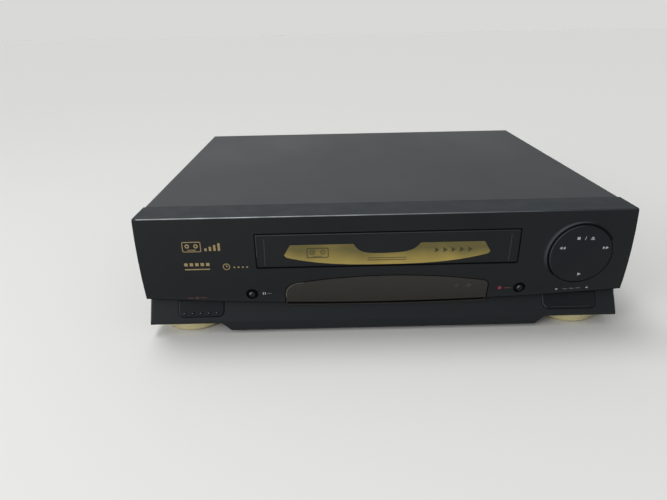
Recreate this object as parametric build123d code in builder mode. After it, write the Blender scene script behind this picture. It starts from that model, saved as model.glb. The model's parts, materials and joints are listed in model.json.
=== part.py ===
from build123d import *
import os
from math import atan2, cos, degrees, hypot, pi, radians, sin, sqrt

# VHS video cassette recorder with a front flap, a tray that carries the cassette in and down, and the
# tape deck below it. Millimetres. +X is to the right seen from the front, the front faces -Y, +Z is up.
# The origin is on the surface the recorder stands on, below the middle of its box.

os.makedirs("parts", exist_ok=True)

# ---------------------------------------------------------------- driving dimensions
# Casing
casing_width = 380.0
casing_top = 101.0
overall_depth = 312.0
bezel_depth = 30.0
face_radius = 250.0
face_apex_height = 69.0
bezel_wall = 2.5
top_edge_radius = 1.8
panel_edge_middle = 25.0
panel_edge_end = 33.0
socket_reach = 7.0
cover_lap = 1.0
cover_sheet = 1.0
cover_bend = 2.5
cover_lip = 11.0
seam = 0.3
rear_wall = 2.0
bottom_sheet = 1.0
foot_height = 9.0
foot_radius = 26.0
foot_pad_radius = 21.5
foot_pad_reach = 0.8
foot_pad_height = 2.8
foot_inset_x = 30.5
front_foot_inset = 30.2
rear_foot_inset = 44.0
foot_flare = 2.0
foot_rim = 1.5
foot_bevel = 1.2
foot_pad_edge = 0.4
tub_floor = 2.0
tub_wall = 2.0
tub_height = 24.0
tub_front_setback = 9.0
vent_count = 10
vent_pitch = 7.0
vent_width = 3.0
vent_height = 22.0
side_vent_setback = 71.0
side_vent_height = 52.0
rear_vent_inset = 95.0
rear_vent_height = 72.0
bottom_slot_length = 34.0
bottom_slot_width = 4.0
bottom_slot_pitch = 18.0
bottom_slot_rows = 60.0
bottom_slot_count = 9
bottom_slots_setback = 116.0
face_low = 5.0
wall_overlap = 0.5
soft_edge = 0.6

# Lower apron, set back under the front panel and sloping forward
apron_inset = 0.2
apron_setback = 12.5
apron_slope_top = 31.5
apron_slope_bottom = 11.5
apron_toe_setback = 0.5
apron_tab_height = 10.0
apron_skirt_height = 3.0
apron_tab_inset = 58.0
apron_skirt_inset = 65.5
apron_edge_radius = 3.0

# Flap and the opening it closes
opening_side_play = 7.75
opening_bottom = 59.0
opening_top = 87.5
opening_corner = 1.5
flap_gap = 0.6
flap_recess = 0.7
flap_thickness = 2.0
flap_pin_radius = 0.9
flap_pin_reach = 2.2
flap_pivot_drop = 1.4
flap_bearing_depth = 3.0
flap_bearing_height = 6.0
flap_bearing_width = 4.0
pin_end_play = 0.4
pin_play = 0.1

# Display lens and tube
lens_left = -79.1
lens_right = 83.0
lens_shoulder = 43.5
lens_crown = 50.5
lens_lip = 2.6
lens_lower_corner = 2.5
lens_wall = 2.0
lens_recess = 0.2
lens_fit = 0.2
lens_left_corner = 11.0
lens_right_corner = 5.0
lens_depth = 6.0
display_left = -56.0
display_right = 62.0
display_bottom = 35.0
display_top = 50.0
display_thickness = 7.0
display_corner = 1.5
display_tip_radius = 1.6
display_tip = 4.0

# Buttons
still_x = -105.4
still_height = 35.4
record_x = 108.3
record_height = 36.0
round_button_radius = 3.2
round_button_well = 4.8
round_button_well_depth = 4.0
button_gap = 0.3
button_proud = 0.6
button_guide_wall = 2.6
button_guide_length = 3.5
button_dome = 1.2
button_stem_end = 4.0
standby_inset = 22.6
standby_width = 37.2
key_top = 27.0
key_bottom = 15.2
key_thickness = 3.0
key_proud = 0.3
key_corner = 4.5
channel_inset = 16.0
channel_width = 44.0
channel_corner = 6.0
channel_stem_inset = 8.0
key_rib = 4.0
crease_shift = 1.5
crease_rise = 2.4
crease_length = 31.0
crease_width = 0.7
crease_depth = 0.5
key_stem_radius = 2.0
key_dot_count = 5
key_dot_pitch = 6.6
key_dot_radius = 0.8
key_dot_rise = 2.8
key_dot_height = 0.5

# Four-way control disc
disc_inset = 38.5
disc_height = 64.6
disc_radius = 24.2
disc_gap = 0.5
disc_edge_radius = 0.4
disc_thickness = 3.0
disc_bulge = 1.6
disc_cup_wall = 2.0
disc_pivot_setback = 8.5
crescent_shift = 2.6
crescent_taper = 60.0
crescent_depth = 2.0
gimbal_bar = 4.0
gimbal_pin_reach = 1.2
gimbal_pin_length = 4.5
ear_radius = 3.0
ear_height = 4.0
key_pin_radius = 0.9
channel_pivot_depth = 1.6
switch_button_height = 0.8
disc_switch_gap = 1.1
key_stem_length = 3.9
key_bearing = 1.8
key_bearing_width = 7.0
cover_screw_inset = 47.5
cover_screw_length = 6.0
screw_hole_radius = 1.7
screw_head_radius = 3.2
screw_head_height = 2.0
screw_length = 8.0
gimbal_pin_radius = 1.2
switch_size = 5.0
switch_height = 4.0
switch_gap = 1.0
disc_switch_offset = 12.0

# Boards
board_thickness = 1.6
board_boss_height = 4.0
front_board_setback = 18.0
front_board_margin = 12.0
front_board_top = 57.0
front_board_tower_reach = 25.0
front_board_tower_top = 91.0
board_side_margin = 6.0
board_rear_gap = 4.0
board_boss_radius = 4.0
board_boss_inset = 6.0
main_board_left = -62.0
main_board_setback = 20.0
power_board_right = -68.0
power_board_depth = 121.0
# places of the parts on the power board, from its left rear corner
transformer_from = (32.0, -77.0)
transformer_width = 36.0
transformer_height = 27.0
transformer_core = 12.0
transformer_coil_depth = 28.0
transformer_limb = 5.0
transformer_yoke = 6.0
heat_sink_from_x = 88.0
heat_sink_base = 3.0
heat_sink_fin = 1.5
heat_sink_width = 40.0
heat_sink_depth = 14.0
heat_sink_height = 36.0
heat_sink_fins = 7
capacitor_edge = 0.8
capacitor_sizes = (
    (16.0, -39.0, 11.0, 32.0),
    (42.0, -43.0, 8.0, 25.0),
    (60.0, -43.0, 6.3, 20.0),
    (64.0, -99.0, 5.0, 12.0),
    (64.0, -85.0, 5.0, 12.0),
)

# Tape deck, its places counted from an origin on its middle line this far behind the front
deck_x = 1.75
deck_setback = 156.0
deck_foot = 8.5
deck_post_inset = 3.3
deck_post_setback = 8.0
deck_front = -122.0
deck_rear = 84.0
deck_top = 32.0
deck_sheet = 1.5
deck_post_radius = 5.0
running_play = 0.06
body_gap = 0.3
cassette_width = 188.0
cassette_height = 25.0
cassette_floor = 59.8
tray_travel = 51.5
tray_drop = 22.0
tray_front = -125.5
tray_length = 52.5
tray_sheet = 1.2
tray_side_play = 1.2
tray_head_play = 1.1
tray_ledge = 13.0
tray_stop_height = 10.0
tray_pin_radius = 1.8
tray_pin_height = 74.0
tray_pin_offsets = (8.0, 44.0)
slider_gap = 1.6
slider_thickness = 2.2
slider_bottom = 48.0
slider_stud_radius = 2.0
slider_stud_height = 80.0
slider_stud_offsets = (12.0, 42.0)
stud_reach = 0.6
tray_pin_reach = 0.5
tray_window_inset = 25.0
tray_front_bar = 16.0
bracket_gap = 1.3
bracket_lead = 1.0
bracket_bevel = 14.0
bracket_ear_bevel = 2.0
bracket_sheet = 1.5
bracket_top = 92.0
bracket_rear = 8.0
bracket_ear_half_width = 6.0
bracket_ear_rise = 4.5
top_plate_depth = 38.0
top_plate_wing = 30.0
top_plate_bar = 16.0
top_rib_setback = 9.0
top_rib_inset = 35.0
top_rib_width = 5.0
top_rib_height = 1.2
pinion_teeth = 10
pinion_module = 1.0
lift_shaft_radius = 2.0
rack_tip_height = 86.0
pinion_width = 2.6
pinion_backlash = 0.1
pinion_overlap = 0.2
lift_shaft_reach = 1.0
lift_shaft_lead = 0.75
rack_addendum = 0.8
rack_tooth_height = 1.9
bracket_window_length = 90.0
bracket_window_height = 20.0
bracket_window_corner = 4.0
bracket_window_drop = 2.0
deck_rim = 5.0

# Drum
drum_y = 26.0
drum_split_height = 51.5
drum_radius = 31.0
drum_tilt = 5.97
drum_half_height = 14.5
drum_split_gap = 0.15
drum_shaft_radius = 2.5
drum_base_bore = 21.0
drum_hole_radius = 24.0
rotor_radius = 20.0
rotor_height = 4.0
rotor_drop = 30.0
head_count = 4
head_notch_width = 2.4
drum_step = 0.6
drum_top_recess = 1.2
drum_top_rim = 5.0
drum_chamfer = 0.8
rotor_rim = 2.0

# Capstan and pinch roller, places from the deck's middle line
capstan_at = (66.0, -12.0)
capstan_radius = 1.5
capstan_top = 62.0
flywheel_radius = 22.0
flywheel_height = 4.5
flywheel_bottom = 19.5
flywheel_rim = 4.0
bearing_radius = 5.0
bearing_bottom = 26.0
bearing_top = 42.0
bearing_flange = 2.0
bearing_edge = 1.0
pinch_pivot_at = (88.0, 16.0)
pinch_rest_at = (88.6, -9.8)
pinch_roller_radius = 7.8
pinch_roller_bottom = 42.0
pinch_roller_height = 16.0
pinch_arm_bottom = 34.0
pinch_arm_height = 3.0
roller_recess = 1.5
roller_tyre = 2.0

# Reels
reel_spacing = 92.5
reel_y = -80.0
reel_teeth = 34
reel_gear_radius = 17.0
reel_gear_bottom = 33.0
reel_gear_height = 3.0
reel_disc_radius = 13.0
reel_disc_top = 37.3
reel_spindle_radius = 8.8
reel_spindle_top = 52.5
reel_spline_reach = 1.7
reel_spline_count = 6
reel_spline_width = 2.0
reel_post_radius = 2.0
idler_pivot_y = -50.0
idler_reach = 34.0
idler_teeth = 28
idler_gear_radius = 14.0
idler_axle_radius = 1.2
tooth_height = 1.1
lever_sheet = 1.1
lever_width = 6.0

# Tape guides
guide_rest_at = (34.0, -30.0)
guide_end_at = (46.0, 38.0)
guide_slot_radius = 4.0
guide_base_length = 14.0
guide_base_width = 10.0
guide_base_top = 36.3
guide_post_radius = 1.3
guide_roller_radius = 3.2
guide_roller_bottom = 40.0
guide_roller_top = 57.0
guide_top = 62.0
guide_flange = 1.5
guide_slant = 8.0
guide_slant_offset = 5.5
tension_pivot_at = (-76.0, -20.0)
tension_post_at = (-52.0, -34.0)
erase_head_at = (-68.0, 14.0)
audio_head_at = (60.0, 13.0)
head_bottom = 42.0
head_height = 16.0
head_pillar_radius = 2.5
erase_head_foot = (12.0, 12.0)
erase_head_core = (9.0, 6.0)
audio_head_foot = (10.0, 16.0)
audio_head_core = (9.0, 8.0)
head_foot_corner = 2.0

# Loading drive
cam_at = (78.0, 46.0)
cam_teeth = 36
cam_radius = 18.0
cam_bottom = 40.0
cam_height = 6.0
cam_post_radius = 3.0
cam_groove_shift = 1.5
lever_pin_radius = 1.5
lever_post_top = 44.0
worm_radius = 4.5
worm_start = 52.0
worm_end = 84.0
motor_radius = 10.0
motor_start = 20.0
motor_length = 28.0
worm_shaft_radius = 1.2
worm_shaft_depth = 6.0
worm_bearing_width = 3.0
worm_thread_height = 1.2
worm_play = 0.5
saddle_inset = 2.0
motor_edge = 1.0

# Sockets at the rear: how far each lies from its end of the casing, and their common height
socket_height = 31.0
aerial_shell_radius = 6.4
aerial_bore_radius = 4.9
aerial_core_radius = 1.75
aerial_plug_radius = 4.75
aerial_pin_radius = 1.2
can_depth = 60.0
can_margin = 16.0
can_corner = 1.0
can_groove_inset = 10.0
can_groove_width = 6.0
can_groove_depth = 0.6
aerial_wall = 0.6
socket_foot = 0.5
socket_leg_setback = 4.0
socket_leg_inset = 3.0
can_height = 25.0
can_sheet = 0.8
phono_block_depth = 13.0
phono_bore_radius = 1.6
scart_depth = 20.0
scart_channel = 2.4
inlet_width = 24.0
inlet_height = 14.0
inlet_body_depth = 22.0
aerial_in_inset = 30.0
aerial_out_inset = 56.0
phono_middle_inset = 98.0
phono_block_rim = 1.0
phono_pitch = 14.0
phono_shell_radius = 4.15
phono_flange = 1.5
phono_flange_radius = 6.0
scart_insets = (212.0, 152.0)
scart_corner = 2.0
scart_shell_half_width = 21.5
scart_shell_half_height = 7.0
scart_skew_x = 17.0
scart_skew_height = 2.0
scart_width = 48.0
scart_height = 21.0
inlet_inset = 40.0
inlet_corner = 2.5
inlet_pin_radius = 1.2
inlet_lobe_radius = 4.2
inlet_lobe_spacing = 8.6
inlet_depth = 13.0
panel_play = 0.3
socket_notch_rise = 2.0
socket_span_play = 2.0

# ---------------------------------------------------------------- places that follow from them
half_width = casing_width / 2
front = -overall_depth / 2
rear = overall_depth / 2
deck_y = front + deck_setback
seam_y = front + bezel_depth
rear_face = rear - socket_reach
cover_rear = rear_face + cover_lap
cover_bottom = foot_height + bottom_sheet
floor_top = cover_bottom + tub_floor
apron_top_y = front + apron_setback
apron_toe_y = front + apron_toe_setback
board_bottom = floor_top + board_boss_height
board_top = board_bottom + board_thickness
deck_bottom = deck_top - deck_sheet
front_board_y = front + front_board_setback
opening_left = deck_x - cassette_width / 2 - opening_side_play
opening_right = deck_x + cassette_width / 2 + opening_side_play
flap_left = opening_left + flap_gap
flap_right = opening_right - flap_gap
flap_pivot_z = opening_top - flap_pivot_drop
rear_panel_y = rear_face - rear_wall
socket_base_y = rear_panel_y - body_gap
cover_screw_pitch = half_width - cover_screw_inset

# Keys and sockets, each from its end of the casing
standby_left = standby_inset - half_width
standby_right = standby_left + standby_width
channel_right = half_width - channel_inset
channel_left = channel_right - channel_width
disc_x = half_width - disc_inset
aerial_in_x = half_width - aerial_in_inset
aerial_out_x = half_width - aerial_out_inset
phono_middle_x = half_width - phono_middle_inset
scart_xs = tuple(half_width - inset for inset in scart_insets)
inlet_x = inlet_inset - half_width

# Boards
board_rear = rear_panel_y - board_rear_gap
main_board_right = half_width - board_side_margin
main_board_front = front_board_y + main_board_setback
power_board_left = board_side_margin - half_width
power_board_front = board_rear - power_board_depth
transformer_at = (power_board_left + transformer_from[0], board_rear + transformer_from[1])
heat_sink_at = (power_board_left + heat_sink_from_x, (deck_y + deck_rear + rear_panel_y - heat_sink_depth) / 2)
front_board_half_width = half_width - front_board_margin
front_board_tower_left = disc_x - front_board_tower_reach

# Tray and its lift
tray_inner_half = cassette_width / 2 + tray_side_play
tray_outer_half = tray_inner_half + tray_sheet
tray_base = cassette_floor - tray_sheet
tray_roof = cassette_floor + cassette_height + tray_head_play
slider_start = tray_outer_half + slider_gap
bracket_start = slider_start + slider_thickness + bracket_gap
bracket_front = deck_front + bracket_lead
deck_half_width = bracket_start + deck_foot
pinion_pitch_radius = pinion_module * pinion_teeth / 2
pinion_tip_radius = pinion_pitch_radius + rack_addendum
pinion_root_radius = pinion_tip_radius - rack_tooth_height
shaft_y = tray_front + tray_length - lift_shaft_lead
shaft_height = rack_tip_height - rack_addendum + pinion_pitch_radius + pinion_backlash

# Travel of the tape guides
guide_middle = ((guide_rest_at[0] + guide_end_at[0]) / 2, (guide_rest_at[1] + guide_end_at[1]) / 2)
guide_run = (guide_end_at[0] - guide_rest_at[0], guide_end_at[1] - guide_rest_at[1])
guide_travel = hypot(*guide_run)
guide_lean = degrees(atan2(guide_run[0], guide_run[1]))

# Pins on the deck plate: place, radius, height of the top
deck_pins = (
    ((-reel_spacing / 2, reel_y), reel_post_radius, reel_spindle_top - 1),
    ((reel_spacing / 2, reel_y), reel_post_radius, reel_spindle_top - 1),
    ((0, idler_pivot_y), lever_pin_radius, reel_disc_top),
    (pinch_pivot_at, reel_post_radius, lever_post_top),
    (tension_pivot_at, lever_pin_radius, reel_disc_top + 1),
    (cam_at, cam_post_radius, cam_bottom + cam_height + 1),
)

# Slope of the apron: its length, its middle and a plane on it that looks out of the slope
slope_run = apron_top_y - apron_toe_y
slope_rise = apron_slope_top - apron_slope_bottom
slope_length = hypot(slope_run, slope_rise)
slope_lean = slope_run / slope_length
slope_climb = slope_rise / slope_length
apron_wall_run = bezel_wall / slope_climb
slope_y = (apron_top_y + apron_toe_y) / 2
slope_z = (apron_slope_top + apron_slope_bottom) / 2
key_plane = Plane((0, slope_y, slope_z), x_dir=(1, 0, 0), z_dir=(0, -slope_climb, slope_lean))
key_middle = ((key_top + key_bottom) / 2 - slope_z) / slope_climb
key_half = (key_top - key_bottom) / 2 / slope_climb
key_hole_half = key_half + button_gap
channel_x = (channel_left + channel_right) / 2
channel_pivot_at = key_plane.from_local_coords((channel_x, key_middle, -bezel_wall - channel_pivot_depth))
channel_pivot_plane = Plane(channel_pivot_at, x_dir=(1, 0, 0), z_dir=(0, slope_lean, slope_climb))

key_axis = Axis((0, slope_y, slope_z), (0, -slope_climb, slope_lean))
disc_switch_places = [
    (disc_x + side_x, disc_height + side_z)
    for side_x in (-disc_switch_offset, disc_switch_offset)
    for side_z in (-disc_switch_offset, disc_switch_offset)
]
key_switch_height = 16.5
switch_places = disc_switch_places + [
    (still_x, still_height),
    (record_x, record_height),
    ((standby_left + standby_right) / 2, key_switch_height),
    (channel_left + channel_stem_inset, key_switch_height),
    (channel_right - channel_stem_inset, key_switch_height),
]

foot_places = [
    (side * (half_width - foot_inset_x), y)
    for y in (front + front_foot_inset, rear - rear_foot_inset)
    for side in (-1, 1)
]
board_boss_places = [
    (x, y)
    for left, right, low in (
        (main_board_left, main_board_right, main_board_front),
        (power_board_left, power_board_right, power_board_front),
    )
    for y in (low + board_boss_inset, board_rear - board_boss_inset)
    for x in (left + board_boss_inset, right - board_boss_inset)
]
deck_post_offset = deck_half_width - deck_post_inset
deck_posts = [
    (side * deck_post_offset, y)
    for y in (deck_front + deck_post_setback, deck_rear - deck_post_setback)
    for side in (-1, 1)
]
deck_post_places = [(deck_x + x, deck_y + y) for x, y in deck_posts]
socket_spans = [
    (left - socket_span_play, right + socket_span_play)
    for left, right in (
        (aerial_out_x - can_margin, aerial_in_x + can_margin),
        (phono_middle_x - 1.5 * phono_pitch, phono_middle_x + 1.5 * phono_pitch),
        (scart_xs[0] - scart_width / 2, scart_xs[0] + scart_width / 2),
        (scart_xs[1] - scart_width / 2, scart_xs[1] + scart_width / 2),
        (inlet_x - inlet_width / 2, inlet_x + inlet_width / 2),
    )
]


def face_y(height, inset=0.0):
    """Depth of the curved face, moved in by inset, at a height."""
    return front + face_radius - sqrt((face_radius - inset) ** 2 - (height - face_apex_height) ** 2)


flap_pivot_y = face_y(flap_pivot_z, flap_recess) + flap_thickness / 2


def face_section(inset, bottom, top, back):
    """Side view closed in front by the face arc moved in by inset."""
    low = (face_y(bottom, inset), bottom)
    high = (face_y(top, inset), top)
    with BuildSketch(Plane.YZ) as section:
        with BuildLine():
            ThreePointArc(low, (front + inset, face_apex_height), high)
            Polyline(high, (back, top), (back, bottom), low)
        make_face()
    return section.sketch


def panel_elevation(rise, half):
    """Front view above the lower edge of the panel, an arc that hangs lowest in the middle."""
    above = casing_top + bezel_depth
    with BuildSketch(Plane.XZ) as elevation:
        with BuildLine():
            end_left = (-half, panel_edge_end + rise)
            end_right = (half, panel_edge_end + rise)
            ThreePointArc(end_left, (0, panel_edge_middle + rise), end_right)
            Polyline(end_right, (half, above), (-half, above), end_left)
        make_face()
    return elevation.sketch


def lens_elevation(grow):
    """Front view of the display lens, arched on top, open below, grown all round by a fit."""
    left = lens_left - grow
    right = lens_right + grow
    shoulder = lens_shoulder + grow
    with BuildSketch(Plane.XZ) as elevation:
        with BuildLine():
            ThreePointArc((left, shoulder), ((left + right) / 2, lens_crown + grow), (right, shoulder))
            Polyline((right, shoulder), (right, 0), (left, 0), (left, shoulder))
        make_face()
        fillet(elevation.vertices().sort_by(Axis.X)[:2].sort_by(Axis.Y)[-1], lens_left_corner + grow)
        fillet(elevation.vertices().sort_by(Axis.X)[-2:].sort_by(Axis.Y)[-1], lens_right_corner + grow)
    return elevation.sketch


def gear_outline(teeth, root_radius, tip_radius):
    """Outline of a spur gear: each tooth has a root, a tip and straight flanks."""
    points = []
    for tooth in range(teeth):
        for share, radius in ((-0.27, root_radius), (-0.13, tip_radius), (0.13, tip_radius), (0.27, root_radius)):
            angle = 2 * pi * (tooth + share) / teeth
            points.append((radius * cos(angle), radius * sin(angle)))
    return points


def base_outline(inset):
    """Plan of the base, narrower inside the bezel than inside the cover."""
    narrow = half_width - apron_inset - bezel_wall - inset
    wide = half_width - cover_sheet - inset
    with BuildSketch() as plan:
        with Locations((0, front + tub_front_setback)):
            Rectangle(2 * narrow, bezel_depth, align=(Align.CENTER, Align.MIN))
        with Locations((0, seam_y)):
            Rectangle(2 * wide, rear_panel_y - inset - seam_y, align=(Align.CENTER, Align.MIN))
    return plan.sketch


def key_outline(left, right, left_corner, right_corner, grow):
    """Outline of a long key on the slope, square above and round at its lower corners."""
    low = key_middle - key_half - grow
    high = key_middle + key_half + grow
    with BuildSketch() as outline:
        with BuildLine():
            Polyline(
                (left - grow, high),
                (left - grow, low),
                (right + grow, low),
                (right + grow, high),
                close=True,
            )
        make_face()
        lower = outline.vertices().group_by(Axis.Y)[0].sort_by(Axis.X)
        fillet(lower[0], left_corner + grow)
        lower = outline.vertices().group_by(Axis.Y)[0].sort_by(Axis.X)
        fillet(lower[-1], right_corner + grow)
    return outline.sketch


def rack_outline(root):
    """Outline of the rack: teeth a circular pitch apart, counted from the pinion towards the front."""
    pitch = pi * pinion_module
    count = int((shaft_y - tray_front - pitch / 2) / pitch)
    points = [(shaft_y + 0.2 * pitch, root - 1)]
    for tooth in range(count + 1):
        middle = shaft_y - tooth * pitch
        for share, height in ((0.2, root), (0.1, rack_tip_height), (-0.1, rack_tip_height), (-0.2, root)):
            points.append((middle + share * pitch, height))
    points.append((middle - 0.2 * pitch, root - 1))
    return points


def deck_plane(height):
    """Level plane at a height, with the deck's origin."""
    return Plane((deck_x, deck_y, height))


def deck_side(x):
    """Upright plane that looks to the right, at a place counted from the deck's middle line."""
    return Plane((deck_x + x, deck_y, 0), x_dir=(0, 1, 0), z_dir=(1, 0, 0))


# ---------------------------------------------------------------- casing
with BuildPart() as top_cover:
    cover_height = casing_top - cover_bottom
    with BuildSketch(Plane.XZ.offset(-cover_rear)):
        with Locations((0, cover_bottom)):
            Rectangle(casing_width, cover_height, align=(Align.CENTER, Align.MIN))
    extrude(amount=cover_rear - seam_y)
    fillet(top_cover.edges().filter_by(Axis.Y).group_by(Axis.Z)[-1], cover_bend)
    with BuildSketch(Plane.XZ.offset(-cover_rear)):
        with Locations((0, cover_bottom)):
            Rectangle(casing_width - 2 * cover_sheet, cover_height - cover_sheet, align=(Align.CENTER, Align.MIN))
    extrude(amount=cover_rear - seam_y, mode=Mode.SUBTRACT)
    inner_corners = top_cover.edges().filter_by(Axis.Y).filter_by_position(
        Axis.Z, casing_top - 1.01 * cover_sheet, casing_top - 0.99 * cover_sheet
    )
    fillet(inner_corners, cover_bend - cover_sheet)
    with BuildSketch(Plane.XZ.offset(-cover_rear)):
        with Locations((0, casing_top - cover_sheet / 2)):
            Rectangle(casing_width - 4 * cover_bend, cover_lip, align=(Align.CENTER, Align.MAX))
    extrude(amount=cover_lap)
    with BuildSketch(Plane.XZ.offset(-cover_rear)):
        with Locations((0, casing_top - cover_lip / 2 - cover_sheet)):
            with GridLocations(cover_screw_pitch, 1, 3, 1):
                Circle(screw_hole_radius + pin_play)
    extrude(amount=cover_lap, mode=Mode.SUBTRACT)
    with BuildSketch(Plane.YZ):
        with Locations((rear - side_vent_setback, side_vent_height)):
            with GridLocations(vent_pitch, 1, vent_count, 1):
                SlotOverall(vent_height, vent_width, rotation=90)
    extrude(amount=half_width, both=True, mode=Mode.SUBTRACT)
top_cover.part.label = "top_cover"
export_step(top_cover.part, "parts/top_cover.step")

# Inside of the bezel, taken out of it below
with BuildPart() as panel_core:
    inner_half = half_width - bezel_wall
    extrude(face_section(bezel_wall, face_low, casing_top - bezel_wall, seam_y), amount=inner_half, both=True)
    extrude(panel_elevation(bezel_wall, half_width), amount=overall_depth, both=True, mode=Mode.INTERSECT)

with BuildPart() as front_panel:
    extrude(face_section(0, face_low, casing_top, seam_y - seam), amount=half_width, both=True)
    extrude(panel_elevation(0, half_width), amount=overall_depth, both=True, mode=Mode.INTERSECT)
    top_front = front_panel.edges().filter_by(Axis.X).group_by(Axis.Z)[-1].sort_by(Axis.Y)[0]
    fillet(top_front, top_edge_radius)
    add(panel_core.part, mode=Mode.SUBTRACT)
    # room for the apron, which stands behind the lower edge
    with BuildSketch(Plane.YZ):
        with BuildLine():
            ahead = apron_top_y - body_gap
            Polyline(
                (ahead, panel_edge_end + 2 * bezel_wall),
                (ahead, apron_slope_top),
                (apron_toe_y - body_gap, apron_slope_bottom),
                (seam_y, apron_slope_bottom),
                (seam_y, panel_edge_end + 2 * bezel_wall),
                close=True,
            )
        make_face()
    extrude(amount=inner_half, both=True, mode=Mode.SUBTRACT)
    # cassette opening
    with BuildSketch(Plane.XZ.offset(-front)) as opening:
        with Locations(((opening_left + opening_right) / 2, (opening_bottom + opening_top) / 2)):
            Rectangle(opening_right - opening_left, opening_top - opening_bottom)
        fillet(opening.vertices().group_by(Axis.Y)[0], opening_corner)
    extrude(amount=-2 * bezel_wall, mode=Mode.SUBTRACT)
    # bearings of the flap's pins
    for side, edge_x in ((-1, opening_left), (1, opening_right)):
        with BuildSketch(Plane.YZ.offset(edge_x)):
            with Locations((face_y(flap_pivot_z, bezel_wall) - wall_overlap, flap_pivot_z)):
                Rectangle(flap_bearing_depth, flap_bearing_height, align=(Align.MIN, Align.CENTER))
        extrude(amount=side * flap_bearing_width)
        with BuildSketch(Plane.YZ.offset(edge_x)):
            with Locations((flap_pivot_y, flap_pivot_z)):
                Circle(flap_pin_radius + pin_play)
        extrude(amount=side * (flap_pin_reach + pin_end_play), mode=Mode.SUBTRACT)
    # display window, open towards the lower edge
    with BuildSketch(Plane.XZ.offset(-front)):
        add(lens_elevation(lens_fit))
    extrude(amount=-lens_depth, mode=Mode.SUBTRACT)
    # guides and holes of the two round buttons
    for place in ((still_x, still_height), (record_x, record_height)):
        with BuildSketch(Plane.XZ.offset(-face_y(place[1], bezel_wall / 2))):
            with Locations(place):
                Circle(round_button_radius + button_gap + button_guide_wall)
        extrude(amount=-(bezel_wall / 2 + button_guide_length))
        with BuildSketch(Plane.XZ.offset(-front)):
            with Locations(place):
                Circle(round_button_radius + button_gap)
        extrude(amount=-3 * (bezel_wall + button_guide_length), mode=Mode.SUBTRACT)
        with BuildSketch(Plane.XZ.offset(-face_y(place[1]) - round_button_well_depth)):
            with Locations(place):
                Circle(round_button_well)
        extrude(amount=2 * round_button_well_depth, mode=Mode.SUBTRACT)
    # cup of the control disc, with the scooped crescent at its upper left
    disc_hole = disc_radius + disc_gap
    with BuildSketch(Plane.XZ.offset(-face_y(disc_height, bezel_wall / 2))):
        with Locations((disc_x, disc_height)):
            Circle(disc_hole + disc_cup_wall)
    extrude(amount=-(disc_pivot_setback + gimbal_bar / 2))
    with BuildSketch(Plane.XZ.offset(-front)):
        with Locations((disc_x - crescent_shift * sin(pi / 4), disc_height + crescent_shift * sin(pi / 4))):
            Circle(disc_hole + crescent_shift)
    extrude(amount=-crescent_depth, taper=crescent_taper, mode=Mode.SUBTRACT)
    with BuildSketch(Plane.XZ.offset(-front)):
        with Locations((disc_x, disc_height)):
            Circle(disc_hole)
    extrude(amount=-4 * disc_pivot_setback, mode=Mode.SUBTRACT)
    with BuildSketch(Plane.YZ.offset(disc_x)):
        with Locations((front + disc_pivot_setback, disc_height)):
            Circle(gimbal_pin_radius + pin_play)
    extrude(amount=disc_hole + gimbal_pin_reach + 2 * pin_play, both=True, mode=Mode.SUBTRACT)
front_panel.part.label = "front_panel"
export_step(front_panel.part, "parts/front_panel.step")

with BuildPart() as lower_apron:
    apron_half = half_width - apron_inset
    apron_tab_start = half_width - apron_tab_inset
    apron_skirt_half_width = half_width - apron_skirt_inset
    apron_back = seam_y - seam
    apron_roof = panel_edge_end - body_gap
    with BuildSketch(Plane.YZ):
        with BuildLine():
            Polyline(
                (apron_back, apron_roof),
                (apron_top_y, apron_roof),
                (apron_top_y, apron_slope_top),
                (apron_toe_y, apron_slope_bottom),
                (apron_toe_y, apron_skirt_height),
                (apron_back, apron_skirt_height),
                close=True,
            )
        make_face()
    extrude(amount=apron_half, both=True)
    with BuildSketch(Plane.XZ):
        with BuildLine():
            Polyline(
                (-apron_half, casing_top),
                (-apron_half, apron_tab_height),
                (-apron_tab_start, apron_tab_height),
                (-apron_skirt_half_width, apron_skirt_height),
                (apron_skirt_half_width, apron_skirt_height),
                (apron_tab_start, apron_tab_height),
                (apron_half, apron_tab_height),
                (apron_half, casing_top),
                close=True,
            )
        make_face()
    extrude(amount=overall_depth, both=True, mode=Mode.INTERSECT)
    slope_edge = lower_apron.edges().filter_by(Axis.X).filter_by_position(
        Axis.Z, apron_slope_bottom - 0.01, apron_slope_bottom + 0.01
    )
    fillet(slope_edge, apron_edge_radius)
    with BuildSketch(Plane.YZ):
        with BuildLine():
            Polyline(
                (apron_back, casing_top),
                (apron_top_y + apron_wall_run, casing_top),
                (apron_top_y + apron_wall_run, apron_slope_top),
                (apron_toe_y + apron_wall_run, apron_slope_bottom),
                (apron_toe_y + apron_wall_run, 0),
                (apron_back, 0),
                close=True,
            )
        make_face()
    extrude(amount=apron_half - bezel_wall, both=True, mode=Mode.SUBTRACT)
    # holes of the two long keys, cut square to the slope
    with BuildSketch(key_plane) as key_holes:
        add(key_outline(standby_left, standby_right, key_corner, key_corner, button_gap))
        add(key_outline(channel_left, channel_right, channel_corner, key_corner, button_gap))
    extrude(amount=2 * bezel_wall, both=True, mode=Mode.SUBTRACT)
    # bearings of the channel key's pins, behind the slope
    for end in (-1, 1):
        with BuildSketch(key_plane.offset(-bezel_wall)):
            with Locations((channel_x, end * (key_hole_half + key_bearing / 2 + 2 * pin_play) + key_middle)):
                Rectangle(key_bearing_width, key_bearing)
        extrude(amount=-2 * channel_pivot_depth)
    with BuildSketch(channel_pivot_plane):
        Circle(key_pin_radius + pin_play)
    extrude(amount=key_hole_half + key_bearing + wall_overlap, both=True, mode=Mode.SUBTRACT)
lower_apron.part.label = "lower_apron"
export_step(lower_apron.part, "parts/lower_apron.step")

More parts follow.
